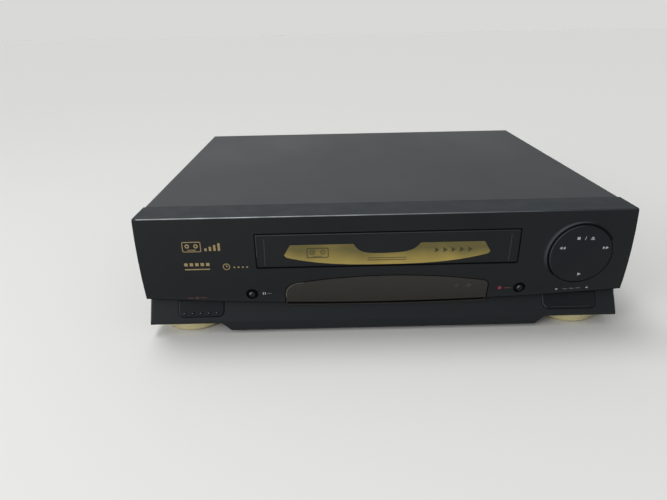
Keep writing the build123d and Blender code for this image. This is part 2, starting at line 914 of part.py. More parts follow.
with BuildPart() as bottom_plate:
    with BuildSketch(Plane.XY.offset(foot_height)):
        add(base_outline(body_gap))
        with Locations((0, rear - bottom_slots_setback)):
            with GridLocations(bottom_slot_pitch, bottom_slot_rows, bottom_slot_count, 2):
                SlotOverall(bottom_slot_length, bottom_slot_width, rotation=90, mode=Mode.SUBTRACT)
    extrude(amount=bottom_sheet)
bottom_plate.part.label = "bottom_plate"
export_step(bottom_plate.part, "parts/bottom_plate.step")

with BuildPart() as base_tub:
    with BuildSketch(Plane.XY.offset(cover_bottom)):
        add(base_outline(body_gap))
    extrude(amount=tub_floor)
    # low walls at both sides and at the rear, open to the front
    side_x = half_width - cover_sheet - body_gap - tub_wall / 2
    wall_length = rear_panel_y - body_gap - seam_y
    with BuildSketch(Plane.XY.offset(floor_top)):
        with Locations((0, seam_y)):
            with GridLocations(2 * side_x, 1, 2, 1):
                Rectangle(tub_wall, wall_length, align=(Align.CENTER, Align.MIN))
        with Locations((0, rear_panel_y - body_gap)):
            Rectangle(2 * side_x, tub_wall, align=(Align.CENTER, Align.MAX))
    extrude(amount=tub_height)
    # notches for the sockets in the rear wall
    with BuildSketch(Plane.XZ.offset(-rear_panel_y)):
        for left, right in socket_spans:
            with Locations(((left + right) / 2, floor_top + socket_notch_rise)):
                Rectangle(right - left, tub_height, align=(Align.CENTER, Align.MIN))
    extrude(amount=2 * tub_wall, mode=Mode.SUBTRACT)
    # bosses below the boards
    with BuildSketch(Plane.XY.offset(floor_top)):
        with Locations(*board_boss_places):
            Circle(board_boss_radius)
    extrude(amount=board_boss_height)
    # tall posts that carry the deck
    with BuildSketch(Plane.XY.offset(floor_top)):
        with Locations(*deck_post_places):
            Circle(deck_post_radius)
    extrude(amount=deck_bottom - floor_top)
    with BuildSketch(Plane.XY.offset(deck_bottom)):
        with Locations(*deck_post_places):
            Circle(screw_hole_radius)
    extrude(amount=-screw_length, mode=Mode.SUBTRACT)
base_tub.part.label = "base_tub"
export_step(base_tub.part, "parts/base_tub.step")

with BuildPart() as rear_panel:
    with BuildSketch(Plane.XZ.offset(-rear_face)) as panel_sheet:
        panel_half = half_width - cover_sheet - body_gap
        with Locations((0, cover_bottom + body_gap)):
            Rectangle(
                2 * panel_half,
                casing_top - cover_sheet - cover_bottom - 2 * body_gap,
                align=(Align.CENTER, Align.MIN),
            )
        fillet(panel_sheet.vertices().group_by(Axis.Y)[-1], cover_bend)
        for x in (aerial_in_x, aerial_out_x):
            with Locations((x, socket_height)):
                Circle(aerial_shell_radius + panel_play, mode=Mode.SUBTRACT)
        with Locations((phono_middle_x, socket_height)):
            with GridLocations(phono_pitch, 1, 3, 1):
                Circle(phono_flange_radius + panel_play, mode=Mode.SUBTRACT)
        for x in scart_xs:
            with Locations((x, socket_height)):
                Rectangle(scart_width + 2 * panel_play, scart_height + 2 * panel_play, mode=Mode.SUBTRACT)
        with Locations((inlet_x, socket_height)):
            Rectangle(inlet_width + 2 * panel_play, inlet_height + 2 * panel_play, mode=Mode.SUBTRACT)
        with Locations((rear_vent_inset - half_width, rear_vent_height)):
            with GridLocations(vent_pitch, 1, 2 * vent_count, 1):
                SlotOverall(vent_height, vent_width, rotation=90, mode=Mode.SUBTRACT)
        with Locations((0, casing_top - cover_lip / 2 - cover_sheet)):
            with GridLocations(cover_screw_pitch, 1, 3, 1):
                Circle(screw_hole_radius, mode=Mode.SUBTRACT)
    extrude(amount=rear_wall)
rear_panel.part.label = "rear_panel"
export_step(rear_panel.part, "parts/rear_panel.step")

with BuildPart() as cover_screws:
    with BuildSketch(Plane.XZ.offset(-cover_rear)) as screw_places:
        with Locations((0, casing_top - cover_lip / 2 - cover_sheet)):
            with GridLocations(cover_screw_pitch, 1, 3, 1):
                Circle(screw_head_radius)
    extrude(amount=-screw_head_height)
    fillet(cover_screws.edges().group_by(Axis.Y)[-1], soft_edge)
    with BuildSketch(Plane.XZ.offset(-cover_rear)):
        with Locations((0, casing_top - cover_lip / 2 - cover_sheet)):
            with GridLocations(cover_screw_pitch, 1, 3, 1):
                Circle(screw_hole_radius - panel_play)
    extrude(amount=cover_screw_length)
cover_screws.part.label = "cover_screws"
export_step(cover_screws.part, "parts/cover_screws.step")

with BuildPart() as foot_rings:
    with BuildSketch(Plane.XZ) as foot_half:
        with BuildLine():
            Polyline(
                (0, foot_pad_height),
                (foot_pad_radius + body_gap, foot_pad_height),
                (foot_pad_radius + body_gap, foot_pad_reach),
                (foot_radius - foot_rim, foot_pad_reach),
                (foot_radius, foot_pad_reach + foot_flare),
                (foot_radius, foot_height - foot_bevel),
                (foot_radius - foot_bevel, foot_height),
                (0, foot_height),
                close=True,
            )
        make_face()
    one_foot = revolve(axis=Axis.Z, mode=Mode.PRIVATE)
    with Locations(*foot_places):
        add(one_foot)
foot_rings.part.label = "foot_rings"
export_step(foot_rings.part, "parts/foot_rings.step")

with BuildPart() as foot_pads:
    with BuildSketch():
        with Locations(*foot_places):
            Circle(foot_pad_radius)
    extrude(amount=foot_pad_height)
    chamfer(foot_pads.edges().group_by(Axis.Z)[0], foot_pad_edge)
foot_pads.part.label = "foot_pads"
export_step(foot_pads.part, "parts/foot_pads.step")

# ---------------------------------------------------------------- front
with BuildPart() as flap_core:
    extrude(face_section(flap_recess + flap_thickness, face_low, casing_top, seam_y), amount=half_width, both=True)

with BuildPart() as flap:
    flap_height = flap_pivot_z + flap_pin_radius - opening_bottom - flap_gap
    extrude(face_section(flap_recess, face_low, casing_top, seam_y), amount=half_width, both=True)
    with BuildSketch(Plane.XZ.offset(-front)) as flap_outline:
        with Locations(((flap_left + flap_right) / 2, opening_bottom + flap_gap)):
            Rectangle(flap_right - flap_left, flap_height, align=(Align.CENTER, Align.MIN))
        fillet(flap_outline.vertices().group_by(Axis.Y)[0], opening_corner)
    extrude(amount=-bezel_depth, mode=Mode.INTERSECT)
    add(flap_core.part, mode=Mode.SUBTRACT)
    # rounded top edge, so that it turns inside the opening
    fillet(flap.edges().filter_by(Axis.X).group_by(Axis.Z)[-1], 0.45 * flap_thickness)
    for side, end_x in ((-1, flap_left), (1, flap_right)):
        with BuildSketch(Plane.YZ.offset(end_x)):
            with Locations((flap_pivot_y, flap_pivot_z)):
                Circle(flap_pin_radius)
        extrude(amount=side * flap_pin_reach)
flap.part.label = "flap"
export_step(flap.part, "parts/flap.step")

with BuildPart() as lens_core:
    inner_recess = lens_recess + lens_wall
    extrude(face_section(inner_recess, face_low, casing_top, seam_y), amount=half_width, both=True)
    lens_rise = lens_wall - lens_lip
    extrude(panel_elevation(lens_rise, half_width), amount=overall_depth, both=True, mode=Mode.INTERSECT)

with BuildPart() as display_lens:
    extrude(face_section(lens_recess, face_low, casing_top, seam_y), amount=half_width, both=True)
    extrude(panel_elevation(-lens_lip, half_width), amount=overall_depth, both=True, mode=Mode.INTERSECT)
    with BuildSketch(Plane.XZ.offset(-front)):
        add(lens_elevation(0))
    extrude(amount=lens_fit - lens_depth, mode=Mode.INTERSECT)
    fillet(display_lens.edges().filter_by(Axis.Y).sort_by(Axis.Z)[:2], lens_lower_corner)
    add(lens_core.part, mode=Mode.SUBTRACT)
display_lens.part.label = "display_lens"
export_step(display_lens.part, "parts/display_lens.step")

with BuildPart() as display_tube:
    with BuildSketch(Plane.XZ.offset(-front_board_y)):
        with Locations(((display_left + display_right) / 2, (display_bottom + display_top) / 2)):
            RectangleRounded(display_right - display_left, display_top - display_bottom, display_corner)
    extrude(amount=display_thickness)
    # tip where the glass was sealed off
    with BuildSketch(Plane.YZ.offset(display_right)):
        with Locations((front_board_y - display_thickness / 2, display_top - display_tip)):
            Circle(display_tip_radius)
    extrude(amount=display_tip)
display_tube.part.label = "display_tube"
export_step(display_tube.part, "parts/display_tube.step")

with BuildPart() as front_board:
    with BuildSketch(Plane.XZ.offset(-front_board_y - board_thickness)):
        with Locations((0, floor_top)):
            Rectangle(
                2 * front_board_half_width,
                front_board_top - floor_top,
                align=(Align.CENTER, Align.MIN),
            )
        with Locations((front_board_tower_left, floor_top)):
            Rectangle(
                front_board_half_width - front_board_tower_left,
                front_board_tower_top - floor_top,
                align=(Align.MIN, Align.MIN),
            )
    extrude(amount=board_thickness)
front_board.part.label = "front_board"
export_step(front_board.part, "parts/front_board.step")

with BuildPart() as push_switches:
    with BuildSketch(Plane.XZ.offset(-front_board_y)) as switch_bodies:
        with Locations(*switch_places):
            Rectangle(switch_size, switch_size)
    extrude(amount=switch_height - switch_button_height)
    with BuildSketch(Plane.XZ.offset(-front_board_y + switch_height - switch_button_height)):
        with Locations(*switch_places):
            Circle(switch_size / 4)
    extrude(amount=switch_button_height)
push_switches.part.label = "push_switches"
export_step(push_switches.part, "parts/push_switches.step")


def round_button(x, height):
    """Button with a domed face, a collar behind the panel and a stem that ends at its switch."""
    face = face_y(height) - button_proud
    reach = front_board_y - switch_height - switch_gap - face
    with BuildPart() as button:
        with BuildSketch(Plane.XZ.offset(-face)):
            with Locations((x, height)):
                Circle(round_button_radius)
        extrude(amount=button_stem_end - reach)
        fillet(button.edges().group_by(Axis.Y)[0], button_dome)
        with BuildSketch(Plane.XZ.offset(-face)):
            with Locations((x, height)):
                Circle(round_button_radius / 2)
        extrude(amount=-reach)
    return button


still_button = round_button(still_x, still_height)
still_button.part.label = "still_button"
export_step(still_button.part, "parts/still_button.step")

record_button = round_button(record_x, record_height)
record_button.part.label = "record_button"
export_step(record_button.part, "parts/record_button.step")

with BuildPart() as standby_button:
    with BuildSketch(key_plane.offset(key_proud)):
        add(key_outline(standby_left, standby_right, key_corner, key_corner, 0))
    extrude(amount=-key_thickness)
    fillet(standby_button.faces().sort_by(key_axis)[-1].edges(), soft_edge)
    with BuildSketch(key_plane.offset(key_proud)):
        with Locations(((standby_left + standby_right) / 2, key_middle - key_half + key_dot_rise)):
            with GridLocations(key_dot_pitch, 1, key_dot_count, 1):
                Circle(key_dot_radius)
    extrude(amount=key_dot_height)
    with BuildSketch(key_plane.offset(key_proud - key_thickness)):
        with Locations(((standby_left + standby_right) / 2, key_middle)):
            Circle(key_stem_radius)
    extrude(amount=-key_stem_length)
standby_button.part.label = "standby_button"
export_step(standby_button.part, "parts/standby_button.step")

with BuildPart() as channel_rocker:
    with BuildSketch(key_plane.offset(key_proud)):
        add(key_outline(channel_left, channel_right, channel_corner, key_corner, 0))
    extrude(amount=-key_thickness)
    fillet(channel_rocker.faces().sort_by(key_axis)[-1].edges(), soft_edge)
    # crease along the lower part of the key
    with BuildSketch(key_plane.offset(key_proud)):
        with Locations((channel_x + crease_shift, key_middle - key_half + crease_rise)):
            Rectangle(crease_length, crease_width)
    extrude(amount=-crease_depth, mode=Mode.SUBTRACT)
    with BuildSketch(key_plane.offset(key_proud - key_thickness)):
        with Locations((channel_x, key_middle)):
            with GridLocations(channel_width - 2 * channel_stem_inset, 1, 2, 1):
                Circle(key_stem_radius)
    extrude(amount=-key_stem_length)
    # rib behind it that ends in the two pivot pins
    with BuildSketch(key_plane.offset(key_proud - key_thickness)):
        with Locations((channel_x, key_middle)):
            Rectangle(key_rib, 2 * key_half)
    extrude(amount=-(bezel_wall + channel_pivot_depth - key_thickness + key_proud))
    with BuildSketch(channel_pivot_plane):
        Circle(key_pin_radius)
    extrude(amount=key_hole_half + key_bearing, both=True)
channel_rocker.part.label = "channel_rocker"
export_step(channel_rocker.part, "parts/channel_rocker.step")

with BuildPart() as disc_gimbal:
    pivot_y = front + disc_pivot_setback
    with BuildSketch(Plane.YZ.offset(disc_x)):
        with Locations((pivot_y, disc_height)):
            Rectangle(gimbal_bar, gimbal_bar)
    extrude(amount=disc_radius - wall_overlap, both=True)
    with BuildSketch(Plane.YZ.offset(disc_x)):
        with Locations((pivot_y, disc_height)):
            Circle(gimbal_pin_radius)
    extrude(amount=disc_hole + gimbal_pin_reach, both=True)
    with BuildSketch(Plane.XY.offset(disc_height)):
        with Locations((disc_x, pivot_y)):
            Circle(gimbal_pin_radius)
    extrude(amount=gimbal_bar / 2 + gimbal_pin_length, both=True)
disc_gimbal.part.label = "disc_gimbal"
export_step(disc_gimbal.part, "parts/disc_gimbal.step")

with BuildPart() as control_disc:
    extrude(face_section(lens_recess, face_low, casing_top, seam_y), amount=half_width, both=True)
    with BuildSketch(Plane.XZ.offset(-front)):
        with Locations((disc_x, disc_height)):
            Circle(disc_radius)
    extrude(amount=-(disc_thickness + disc_bulge), mode=Mode.INTERSECT)
    fillet(control_disc.faces().sort_by(Axis.Y)[0].edges(), disc_edge_radius)
    # ears that hold the upright pins of the gimbal
    for side in (-1, 1):
        ear_z = disc_height + side * (gimbal_bar / 2 + body_gap)
        with BuildSketch(Plane.XY.offset(ear_z)):
            with Locations((disc_x, pivot_y)):
                Circle(ear_radius)
            with Locations((disc_x, pivot_y)):
                Rectangle(2 * ear_radius, disc_pivot_setback - disc_thickness, align=(Align.CENTER, Align.MAX))
        extrude(amount=side * ear_height)
        with BuildSketch(Plane.XY.offset(ear_z)):
            with Locations((disc_x, pivot_y)):
                Circle(gimbal_pin_radius + pin_play)
        extrude(amount=side * (ear_height + wall_overlap), mode=Mode.SUBTRACT)
    # four stems, one for each switch
    with BuildSketch(Plane.XZ.offset(-front - disc_thickness)):
        with Locations(*disc_switch_places):
            Circle(key_stem_radius)
    extrude(amount=-(front_board_y - switch_height - disc_switch_gap - front - disc_thickness))
control_disc.part.label = "control_disc"
export_step(control_disc.part, "parts/control_disc.step")

# ---------------------------------------------------------------- sockets and electronics
with BuildPart() as tuner_can:
    can_left = aerial_out_x - can_margin
    can_right = aerial_in_x + can_margin
    with BuildSketch(Plane.XY.offset(board_top)):
        with Locations(((can_left + can_right) / 2, socket_base_y)):
            Rectangle(can_right - can_left, can_depth, align=(Align.CENTER, Align.MAX))
    extrude(amount=can_height)
    fillet(tuner_can.edges().filter_by(Axis.Z), can_corner)
    # thin sheet, open below
    with BuildSketch(Plane.XY.offset(board_top)):
        with Locations(((can_left + can_right) / 2, socket_base_y - can_sheet)):
            Rectangle(
                can_right - can_left - 2 * can_sheet,
                can_depth - 2 * can_sheet,
                align=(Align.CENTER, Align.MAX),
            )
    extrude(amount=can_height - 2 * can_sheet, mode=Mode.SUBTRACT)
    with BuildSketch(Plane.XY.offset(board_top + can_height)):
        with Locations(((can_left + can_right) / 2, socket_base_y - can_depth / 2)):
            with GridLocations(0, can_depth / 3, 1, 3):
                SlotOverall(can_right - can_left - 2 * can_groove_inset, can_groove_width)
    extrude(amount=-can_groove_depth, mode=Mode.SUBTRACT)
tuner_can.part.label = "tuner_can"
export_step(tuner_can.part, "parts/tuner_can.step")

with BuildPart() as aerial_sockets:
    with BuildSketch(Plane.XZ.offset(-socket_base_y)):
        with Locations((aerial_in_x, socket_height), (aerial_out_x, socket_height)):
            Circle(aerial_shell_radius)
    extrude(amount=-(rear_face + socket_foot - socket_base_y))
    with BuildSketch(Plane.XZ.offset(-rear_face)):
        with Locations((aerial_in_x, socket_height)):
            Circle(aerial_shell_radius - aerial_wall)
        with Locations((aerial_out_x, socket_height)):
            Circle(aerial_plug_radius)
    extrude(amount=-socket_reach)
    with BuildSketch(Plane.XZ.offset(-rear)):
        with Locations((aerial_in_x, socket_height)):
            Circle(aerial_bore_radius)
            Circle(aerial_core_radius, mode=Mode.SUBTRACT)
        with Locations((aerial_out_x, socket_height)):
            Circle(aerial_plug_radius - aerial_wall)
            Circle(aerial_pin_radius, mode=Mode.SUBTRACT)
    extrude(amount=socket_reach - socket_foot, mode=Mode.SUBTRACT)
aerial_sockets.part.label = "aerial_sockets"
export_step(aerial_sockets.part, "parts/aerial_sockets.step")

with BuildPart() as phono_sockets:
    with BuildSketch(Plane.XY.offset(board_top)):
        with Locations((phono_middle_x, socket_base_y)):
            Rectangle(3 * phono_pitch, phono_block_depth, align=(Align.CENTER, Align.MAX))
    extrude(amount=socket_height + phono_flange_radius + phono_block_rim - board_top)
    with BuildSketch(Plane.XZ.offset(-socket_base_y)):
        with Locations((phono_middle_x, socket_height)):
            with GridLocations(phono_pitch, 1, 3, 1):
                Circle(phono_flange_radius)
    extrude(amount=-(rear_face + phono_flange - socket_base_y))
    with BuildSketch(Plane.XZ.offset(-rear)):
        with Locations((phono_middle_x, socket_height)):
            with GridLocations(phono_pitch, 1, 3, 1):
                Circle(phono_shell_radius)
    extrude(amount=socket_reach)
    with BuildSketch(Plane.XZ.offset(-rear)):
        with Locations((phono_middle_x, socket_height)):
            with GridLocations(phono_pitch, 1, 3, 1):
                Circle(phono_bore_radius)
    extrude(amount=socket_reach, mode=Mode.SUBTRACT)
phono_sockets.part.label = "phono_sockets"
export_step(phono_sockets.part, "parts/phono_sockets.step")

with BuildPart() as scart_sockets:
    with BuildSketch(Plane.XZ.offset(-rear_face - cover_lap)):
        for x in scart_xs:
            with Locations((x, socket_height)):
                RectangleRounded(scart_width, scart_height, scart_corner)
    extrude(amount=scart_depth)
    with BuildSketch(Plane.XY.offset(board_top)):
        for x in scart_xs:
            with Locations((x, rear_panel_y - socket_leg_setback)):
                Rectangle(
                    scart_width - 2 * socket_leg_inset,
                    scart_depth - 2 * socket_leg_inset,
                    align=(Align.CENTER, Align.MAX),
                )
    extrude(amount=socket_height - board_top)
    # channel that the plug's shell enters, skewed at one end, round the block of contacts
    with BuildSketch(Plane.XZ.offset(-rear_face - cover_lap)):
        for x in scart_xs:
            for reach, mode in ((0, Mode.ADD), (scart_channel, Mode.SUBTRACT)):
                wide = scart_shell_half_width - reach
                low = socket_height - scart_shell_half_height + reach
                high = socket_height + scart_shell_half_height - reach
                with BuildLine():
                    Polyline(
                        (x - wide, low),
                        (x + wide, low),
                        (x + wide, socket_height + scart_skew_height - reach / 2),
                        (x + scart_skew_x - reach / 2, high),
                        (x - wide, high),
                        close=True,
                    )
                make_face(mode=mode)
    extrude(amount=scart_depth / 2, mode=Mode.SUBTRACT)
scart_sockets.part.label = "scart_sockets"
export_step(scart_sockets.part, "parts/scart_sockets.step")

with BuildPart() as mains_inlet:
    with BuildSketch(Plane.XZ.offset(-rear_face - cover_lap)):
        with Locations((inlet_x, socket_height)):
            RectangleRounded(inlet_width, inlet_height, inlet_corner)
    extrude(amount=inlet_body_depth)
    with BuildSketch(Plane.XY.offset(board_top)):
        with Locations((inlet_x, rear_panel_y - socket_leg_setback)):
            Rectangle(
                inlet_width - 2 * socket_leg_inset,
                inlet_body_depth - 2 * socket_leg_setback,
                align=(Align.CENTER, Align.MAX),
            )
    extrude(amount=socket_height - board_top)
    with BuildSketch(Plane.XZ.offset(-rear_face - cover_lap)):
        with Locations((inlet_x, socket_height)):
            SlotCenterToCenter(inlet_lobe_spacing, 2 * inlet_lobe_radius)
            with GridLocations(inlet_lobe_spacing, 1, 2, 1):
                Circle(inlet_pin_radius, mode=Mode.SUBTRACT)
    extrude(amount=inlet_depth, mode=Mode.SUBTRACT)
mains_inlet.part.label = "mains_inlet"
export_step(mains_inlet.part, "parts/mains_inlet.step")

with BuildPart() as main_board:
    with BuildSketch(Plane.XY.offset(board_bottom)):
        with Locations((main_board_left, main_board_front)):
            Rectangle(
                main_board_right - main_board_left,
                board_rear - main_board_front,
                align=(Align.MIN, Align.MIN),
            )
        with Locations(*[place for place in deck_post_places if place[0] > 0]):
            Circle(deck_post_radius + 2 * body_gap, mode=Mode.SUBTRACT)
    extrude(amount=board_thickness)
main_board.part.label = "main_board"
export_step(main_board.part, "parts/main_board.step")

with BuildPart() as power_board:
    with BuildSketch(Plane.XY.offset(board_bottom)):
        with Locations((power_board_left, power_board_front)):
            Rectangle(
                power_board_right - power_board_left,
                board_rear - power_board_front,
                align=(Align.MIN, Align.MIN),
            )
        with Locations(*[place for place in deck_post_places if place[0] < 0 < place[1]]):
            Circle(deck_post_radius + 2 * body_gap, mode=Mode.SUBTRACT)
    extrude(amount=board_thickness)
power_board.part.label = "power_board"
export_step(power_board.part, "parts/power_board.step")

with BuildPart() as transformer:
    with BuildSketch(Plane.XY.offset(board_top)):
        with Locations(transformer_at):
            Rectangle(transformer_width, transformer_core)
    extrude(amount=transformer_height)
    with BuildSketch(Plane.XY.offset(board_top)):
        with Locations(transformer_at):
            RectangleRounded(
                transformer_width - 2 * transformer_limb,
                transformer_coil_depth,
                transformer_limb,
            )
    extrude(amount=transformer_height - transformer_yoke)
transformer.part.label = "transformer"
export_step(transformer.part, "parts/transformer.step")

with BuildPart() as heat_sink:
    with BuildSketch(Plane.XY.offset(board_top)):
        with Locations(heat_sink_at):
            Rectangle(heat_sink_width, heat_sink_base)
            with GridLocations(heat_sink_width / heat_sink_fins, 1, heat_sink_fins, 1):
                Rectangle(heat_sink_fin, heat_sink_depth, align=(Align.CENTER, Align.MIN))
    extrude(amount=heat_sink_height)
heat_sink.part.label = "heat_sink"
export_step(heat_sink.part, "parts/heat_sink.step")

with BuildPart() as capacitors:
    for x, y, radius, height in capacitor_sizes:
        with BuildSketch(Plane.XY.offset(board_top)):
            with Locations((power_board_left + x, board_rear + y)):
                Circle(radius)
        extrude(amount=height)
    fillet(capacitors.edges().filter_by(GeomType.CIRCLE), capacitor_edge)
capacitors.part.label = "capacitors"
export_step(capacitors.part, "parts/capacitors.step")

# ---------------------------------------------------------------- tape deck
with BuildPart() as deck_plate:
    with BuildSketch(deck_plane(deck_bottom)):
        with Locations((0, deck_front)):
            Rectangle(2 * deck_half_width, deck_rear - deck_front, align=(Align.CENTER, Align.MIN))
        with Locations((0, drum_y)):
            Circle(drum_hole_radius, mode=Mode.SUBTRACT)
        with Locations(capstan_at):
            Circle(bearing_radius + running_play, mode=Mode.SUBTRACT)
        for side in (-1, 1):
            with Locations((side * guide_middle[0], guide_middle[1])):
                SlotCenterToCenter(
                    guide_travel,
                    2 * guide_slot_radius,
                    rotation=90 - side * guide_lean,
                    mode=Mode.SUBTRACT,
                )
        with Locations(*deck_posts):
            Circle(screw_hole_radius, mode=Mode.SUBTRACT)
    extrude(amount=deck_sheet)
    # turned-down edges that stiffen the plate
    with BuildSketch(deck_plane(deck_bottom)):
        for y in (deck_front + deck_sheet / 2, deck_rear - deck_sheet / 2):
            with Locations((0, y)):
                Rectangle(2 * deck_post_offset - 4 * deck_post_radius, deck_sheet)
    extrude(amount=-deck_rim)
    # pins that the moving parts turn on
    for place, radius, top in deck_pins:
        with BuildSketch(deck_plane(deck_top)):
            with Locations(place):
                Circle(radius)
        extrude(amount=top - deck_top)
deck_plate.part.label = "deck_plate"
export_step(deck_plate.part, "parts/deck_plate.step")

with BuildPart() as deck_screws:
    for place in deck_posts:
        seat = deck_top + (bracket_sheet if place[1] < bracket_rear else 0)
        with BuildSketch(deck_plane(seat)):
            with Locations(place):
                Circle(screw_head_radius)
        extrude(amount=screw_head_height)
        with BuildSketch(deck_plane(seat)):
            with Locations(place):
                Circle(screw_hole_radius - panel_play)
        extrude(amount=-screw_length)
deck_screws.part.label = "deck_screws"
export_step(deck_screws.part, "parts/deck_screws.step")


def lift_bracket(side):
    """Side wall beside the tray, with the slot of the slider's studs, and a foot turned outwards."""
    low_end = tray_front + slider_stud_offsets[0]
    high_end = tray_front + slider_stud_offsets[1] + tray_travel
    with BuildPart() as bracket:
        with BuildSketch(deck_side(side * bracket_start)):
            ear_top = bracket_top + bracket_ear_rise
            with BuildLine():
                Polyline(
                    (bracket_front, deck_top),
                    (bracket_front, bracket_top),
                    (shaft_y - bracket_ear_half_width, bracket_top),
                    (shaft_y - bracket_ear_half_width + bracket_ear_bevel, ear_top),
                    (shaft_y + bracket_ear_half_width - bracket_ear_bevel, ear_top),
                    (shaft_y + bracket_ear_half_width, bracket_top),
                    (bracket_rear - bracket_bevel, bracket_top),
                    (bracket_rear, bracket_top - bracket_bevel),
                    (bracket_rear, deck_top),
                    close=True,
                )
            make_face()
            with Locations(((low_end + high_end) / 2, slider_stud_height)):
                SlotCenterToCenter(
                    high_end - low_end,
                    2 * (slider_stud_radius + pin_play),
                    mode=Mode.SUBTRACT,
                )
            with Locations((shaft_y, shaft_height)):
                Circle(lift_shaft_radius + running_play, mode=Mode.SUBTRACT)
            window_z = (deck_top + slider_stud_height) / 2 - bracket_window_drop
            with Locations(((deck_front + bracket_rear) / 2, window_z)):
                RectangleRounded(
                    bracket_window_length,
                    bracket_window_height,
                    bracket_window_corner,
                    mode=Mode.SUBTRACT,
                )
        extrude(amount=side * bracket_sheet)
        with BuildSketch(deck_plane(deck_top)):
            with Locations((side * bracket_start, bracket_front)):
                Rectangle(
                    deck_foot,
                    bracket_rear - bracket_front,
                    align=(Align.MIN if side > 0 else Align.MAX, Align.MIN),
                )
            with Locations(*deck_posts):
                Circle(screw_hole_radius, mode=Mode.SUBTRACT)
        extrude(amount=bracket_sheet)
    return bracket


left_lift_bracket = lift_bracket(-1)
left_lift_bracket.part.label = "left_lift_bracket"
export_step(left_lift_bracket.part, "parts/left_lift_bracket.step")

right_lift_bracket = lift_bracket(1)
right_lift_bracket.part.label = "right_lift_bracket"
export_step(right_lift_bracket.part, "parts/right_lift_bracket.step")

with BuildPart() as lift_top_plate:
    span = 2 * (bracket_start + bracket_sheet)
    with BuildSketch(deck_plane(bracket_top)):
        with Locations((0, bracket_front)):
            Rectangle(span, top_plate_depth, align=(Align.CENTER, Align.MIN))
        with Locations((0, bracket_front + top_plate_depth)):
            Rectangle(span - 2 * top_plate_wing, 2 * (top_plate_depth - top_plate_bar), mode=Mode.SUBTRACT)
    extrude(amount=tray_sheet)
    with BuildSketch(deck_plane(bracket_top + tray_sheet)):
        with Locations((0, deck_front + top_rib_setback)):
            SlotOverall(span - 2 * top_rib_inset, top_rib_width)
    extrude(amount=top_rib_height)
lift_top_plate.part.label = "lift_top_plate"
export_step(lift_top_plate.part, "parts/lift_top_plate.step")

with BuildPart() as tray_sliders:
    rack_root = rack_tip_height - rack_tooth_height
    for side in (-1, 1):
        with BuildSketch(deck_side(side * slider_start)):
            with Locations((tray_front, slider_bottom)):
                Rectangle(tray_length, rack_root - slider_bottom, align=(Align.MIN, Align.MIN))
            # rack along the top edge, in mesh with the pinion
            with BuildLine():
                Polyline(*rack_outline(rack_root), close=True)
            make_face()
            with Locations(*[(tray_front + y, tray_pin_height - tray_drop / 2) for y in tray_pin_offsets]):
                SlotCenterToCenter(
                    tray_drop,
                    2 * (tray_pin_radius + pin_play),
                    rotation=90,
                    mode=Mode.SUBTRACT,
                )
        extrude(amount=side * slider_thickness)
        with BuildSketch(deck_side(side * (slider_start + slider_thickness))):
            with Locations(*[(tray_front + y, slider_stud_height) for y in slider_stud_offsets]):
                Circle(slider_stud_radius)
        extrude(amount=side * (bracket_gap + bracket_sheet + stud_reach))
tray_sliders.part.label = "tray_sliders"
export_step(tray_sliders.part, "parts/tray_sliders.step")

with BuildPart() as lift_shaft:
    with BuildSketch(deck_side(0)):
        with Locations((shaft_y, shaft_height)):
            Circle(lift_shaft_radius)
    extrude(amount=bracket_start + bracket_sheet + lift_shaft_reach, both=True)
    for side in (-1, 1):
        pinion_at = (deck_x + side * (slider_start - pinion_overlap), deck_y + shaft_y, shaft_height)
        with BuildSketch(Plane(pinion_at, x_dir=(0, 1, 0), z_dir=(1, 0, 0))):
            with BuildLine():
                Polyline(*gear_outline(pinion_teeth, pinion_root_radius, pinion_tip_radius), close=True)
            make_face()
        extrude(amount=side * pinion_width)
lift_shaft.part.label = "lift_shaft"
export_step(lift_shaft.part, "parts/lift_shaft.step")

with BuildPart() as cassette_tray:
    lower_middle = (Align.CENTER, Align.MIN)
    with BuildSketch(Plane((deck_x, deck_y + tray_front, 0), x_dir=(1, 0, 0), z_dir=(0, -1, 0))):
        with Locations((0, tray_base)):
            Rectangle(2 * tray_outer_half, tray_roof + tray_sheet - tray_base, align=lower_middle)
        with Locations((0, cassette_floor)):
            Rectangle(2 * tray_inner_half, tray_roof - cassette_floor, align=lower_middle, mode=Mode.SUBTRACT)
        with Locations((0, tray_base)):
            Rectangle(2 * (tray_inner_half - tray_ledge), tray_sheet, align=lower_middle, mode=Mode.SUBTRACT)
    extrude(amount=-tray_length)
    # window in the roof, open to the rear
    with BuildSketch(deck_plane(tray_roof)):
        with Locations((0, tray_front + tray_length)):
            Rectangle(2 * (tray_inner_half - tray_window_inset), 2 * (tray_length - tray_front_bar))
    extrude(amount=2 * tray_sheet, mode=Mode.SUBTRACT)
    # stops that the cassette's leading edge meets
    for side in (-1, 1):
        with BuildSketch(deck_plane(cassette_floor)):
            with Locations((side * (tray_inner_half - tray_ledge / 2), tray_front + tray_length)):
                Rectangle(tray_ledge, tray_sheet, align=(Align.CENTER, Align.MAX))
        extrude(amount=tray_stop_height)
        with BuildSketch(deck_side(side * tray_outer_half)):
            with Locations(*[(tray_front + y, tray_pin_height) for y in tray_pin_offsets]):
                Circle(tray_pin_radius)
        extrude(amount=side * (slider_gap + slider_thickness + tray_pin_reach))
cassette_tray.part.label = "cassette_tray"
export_step(cassette_tray.part, "parts/cassette_tray.step")

# ---------------------------------------------------------------- drum
drum_lean = radians(drum_tilt)
drum_plane = Plane(
    (deck_x, deck_y + drum_y, drum_split_height),
    x_dir=(cos(drum_lean), 0, sin(drum_lean)),
    z_dir=(-sin(drum_lean), 0, cos(drum_lean)),
)

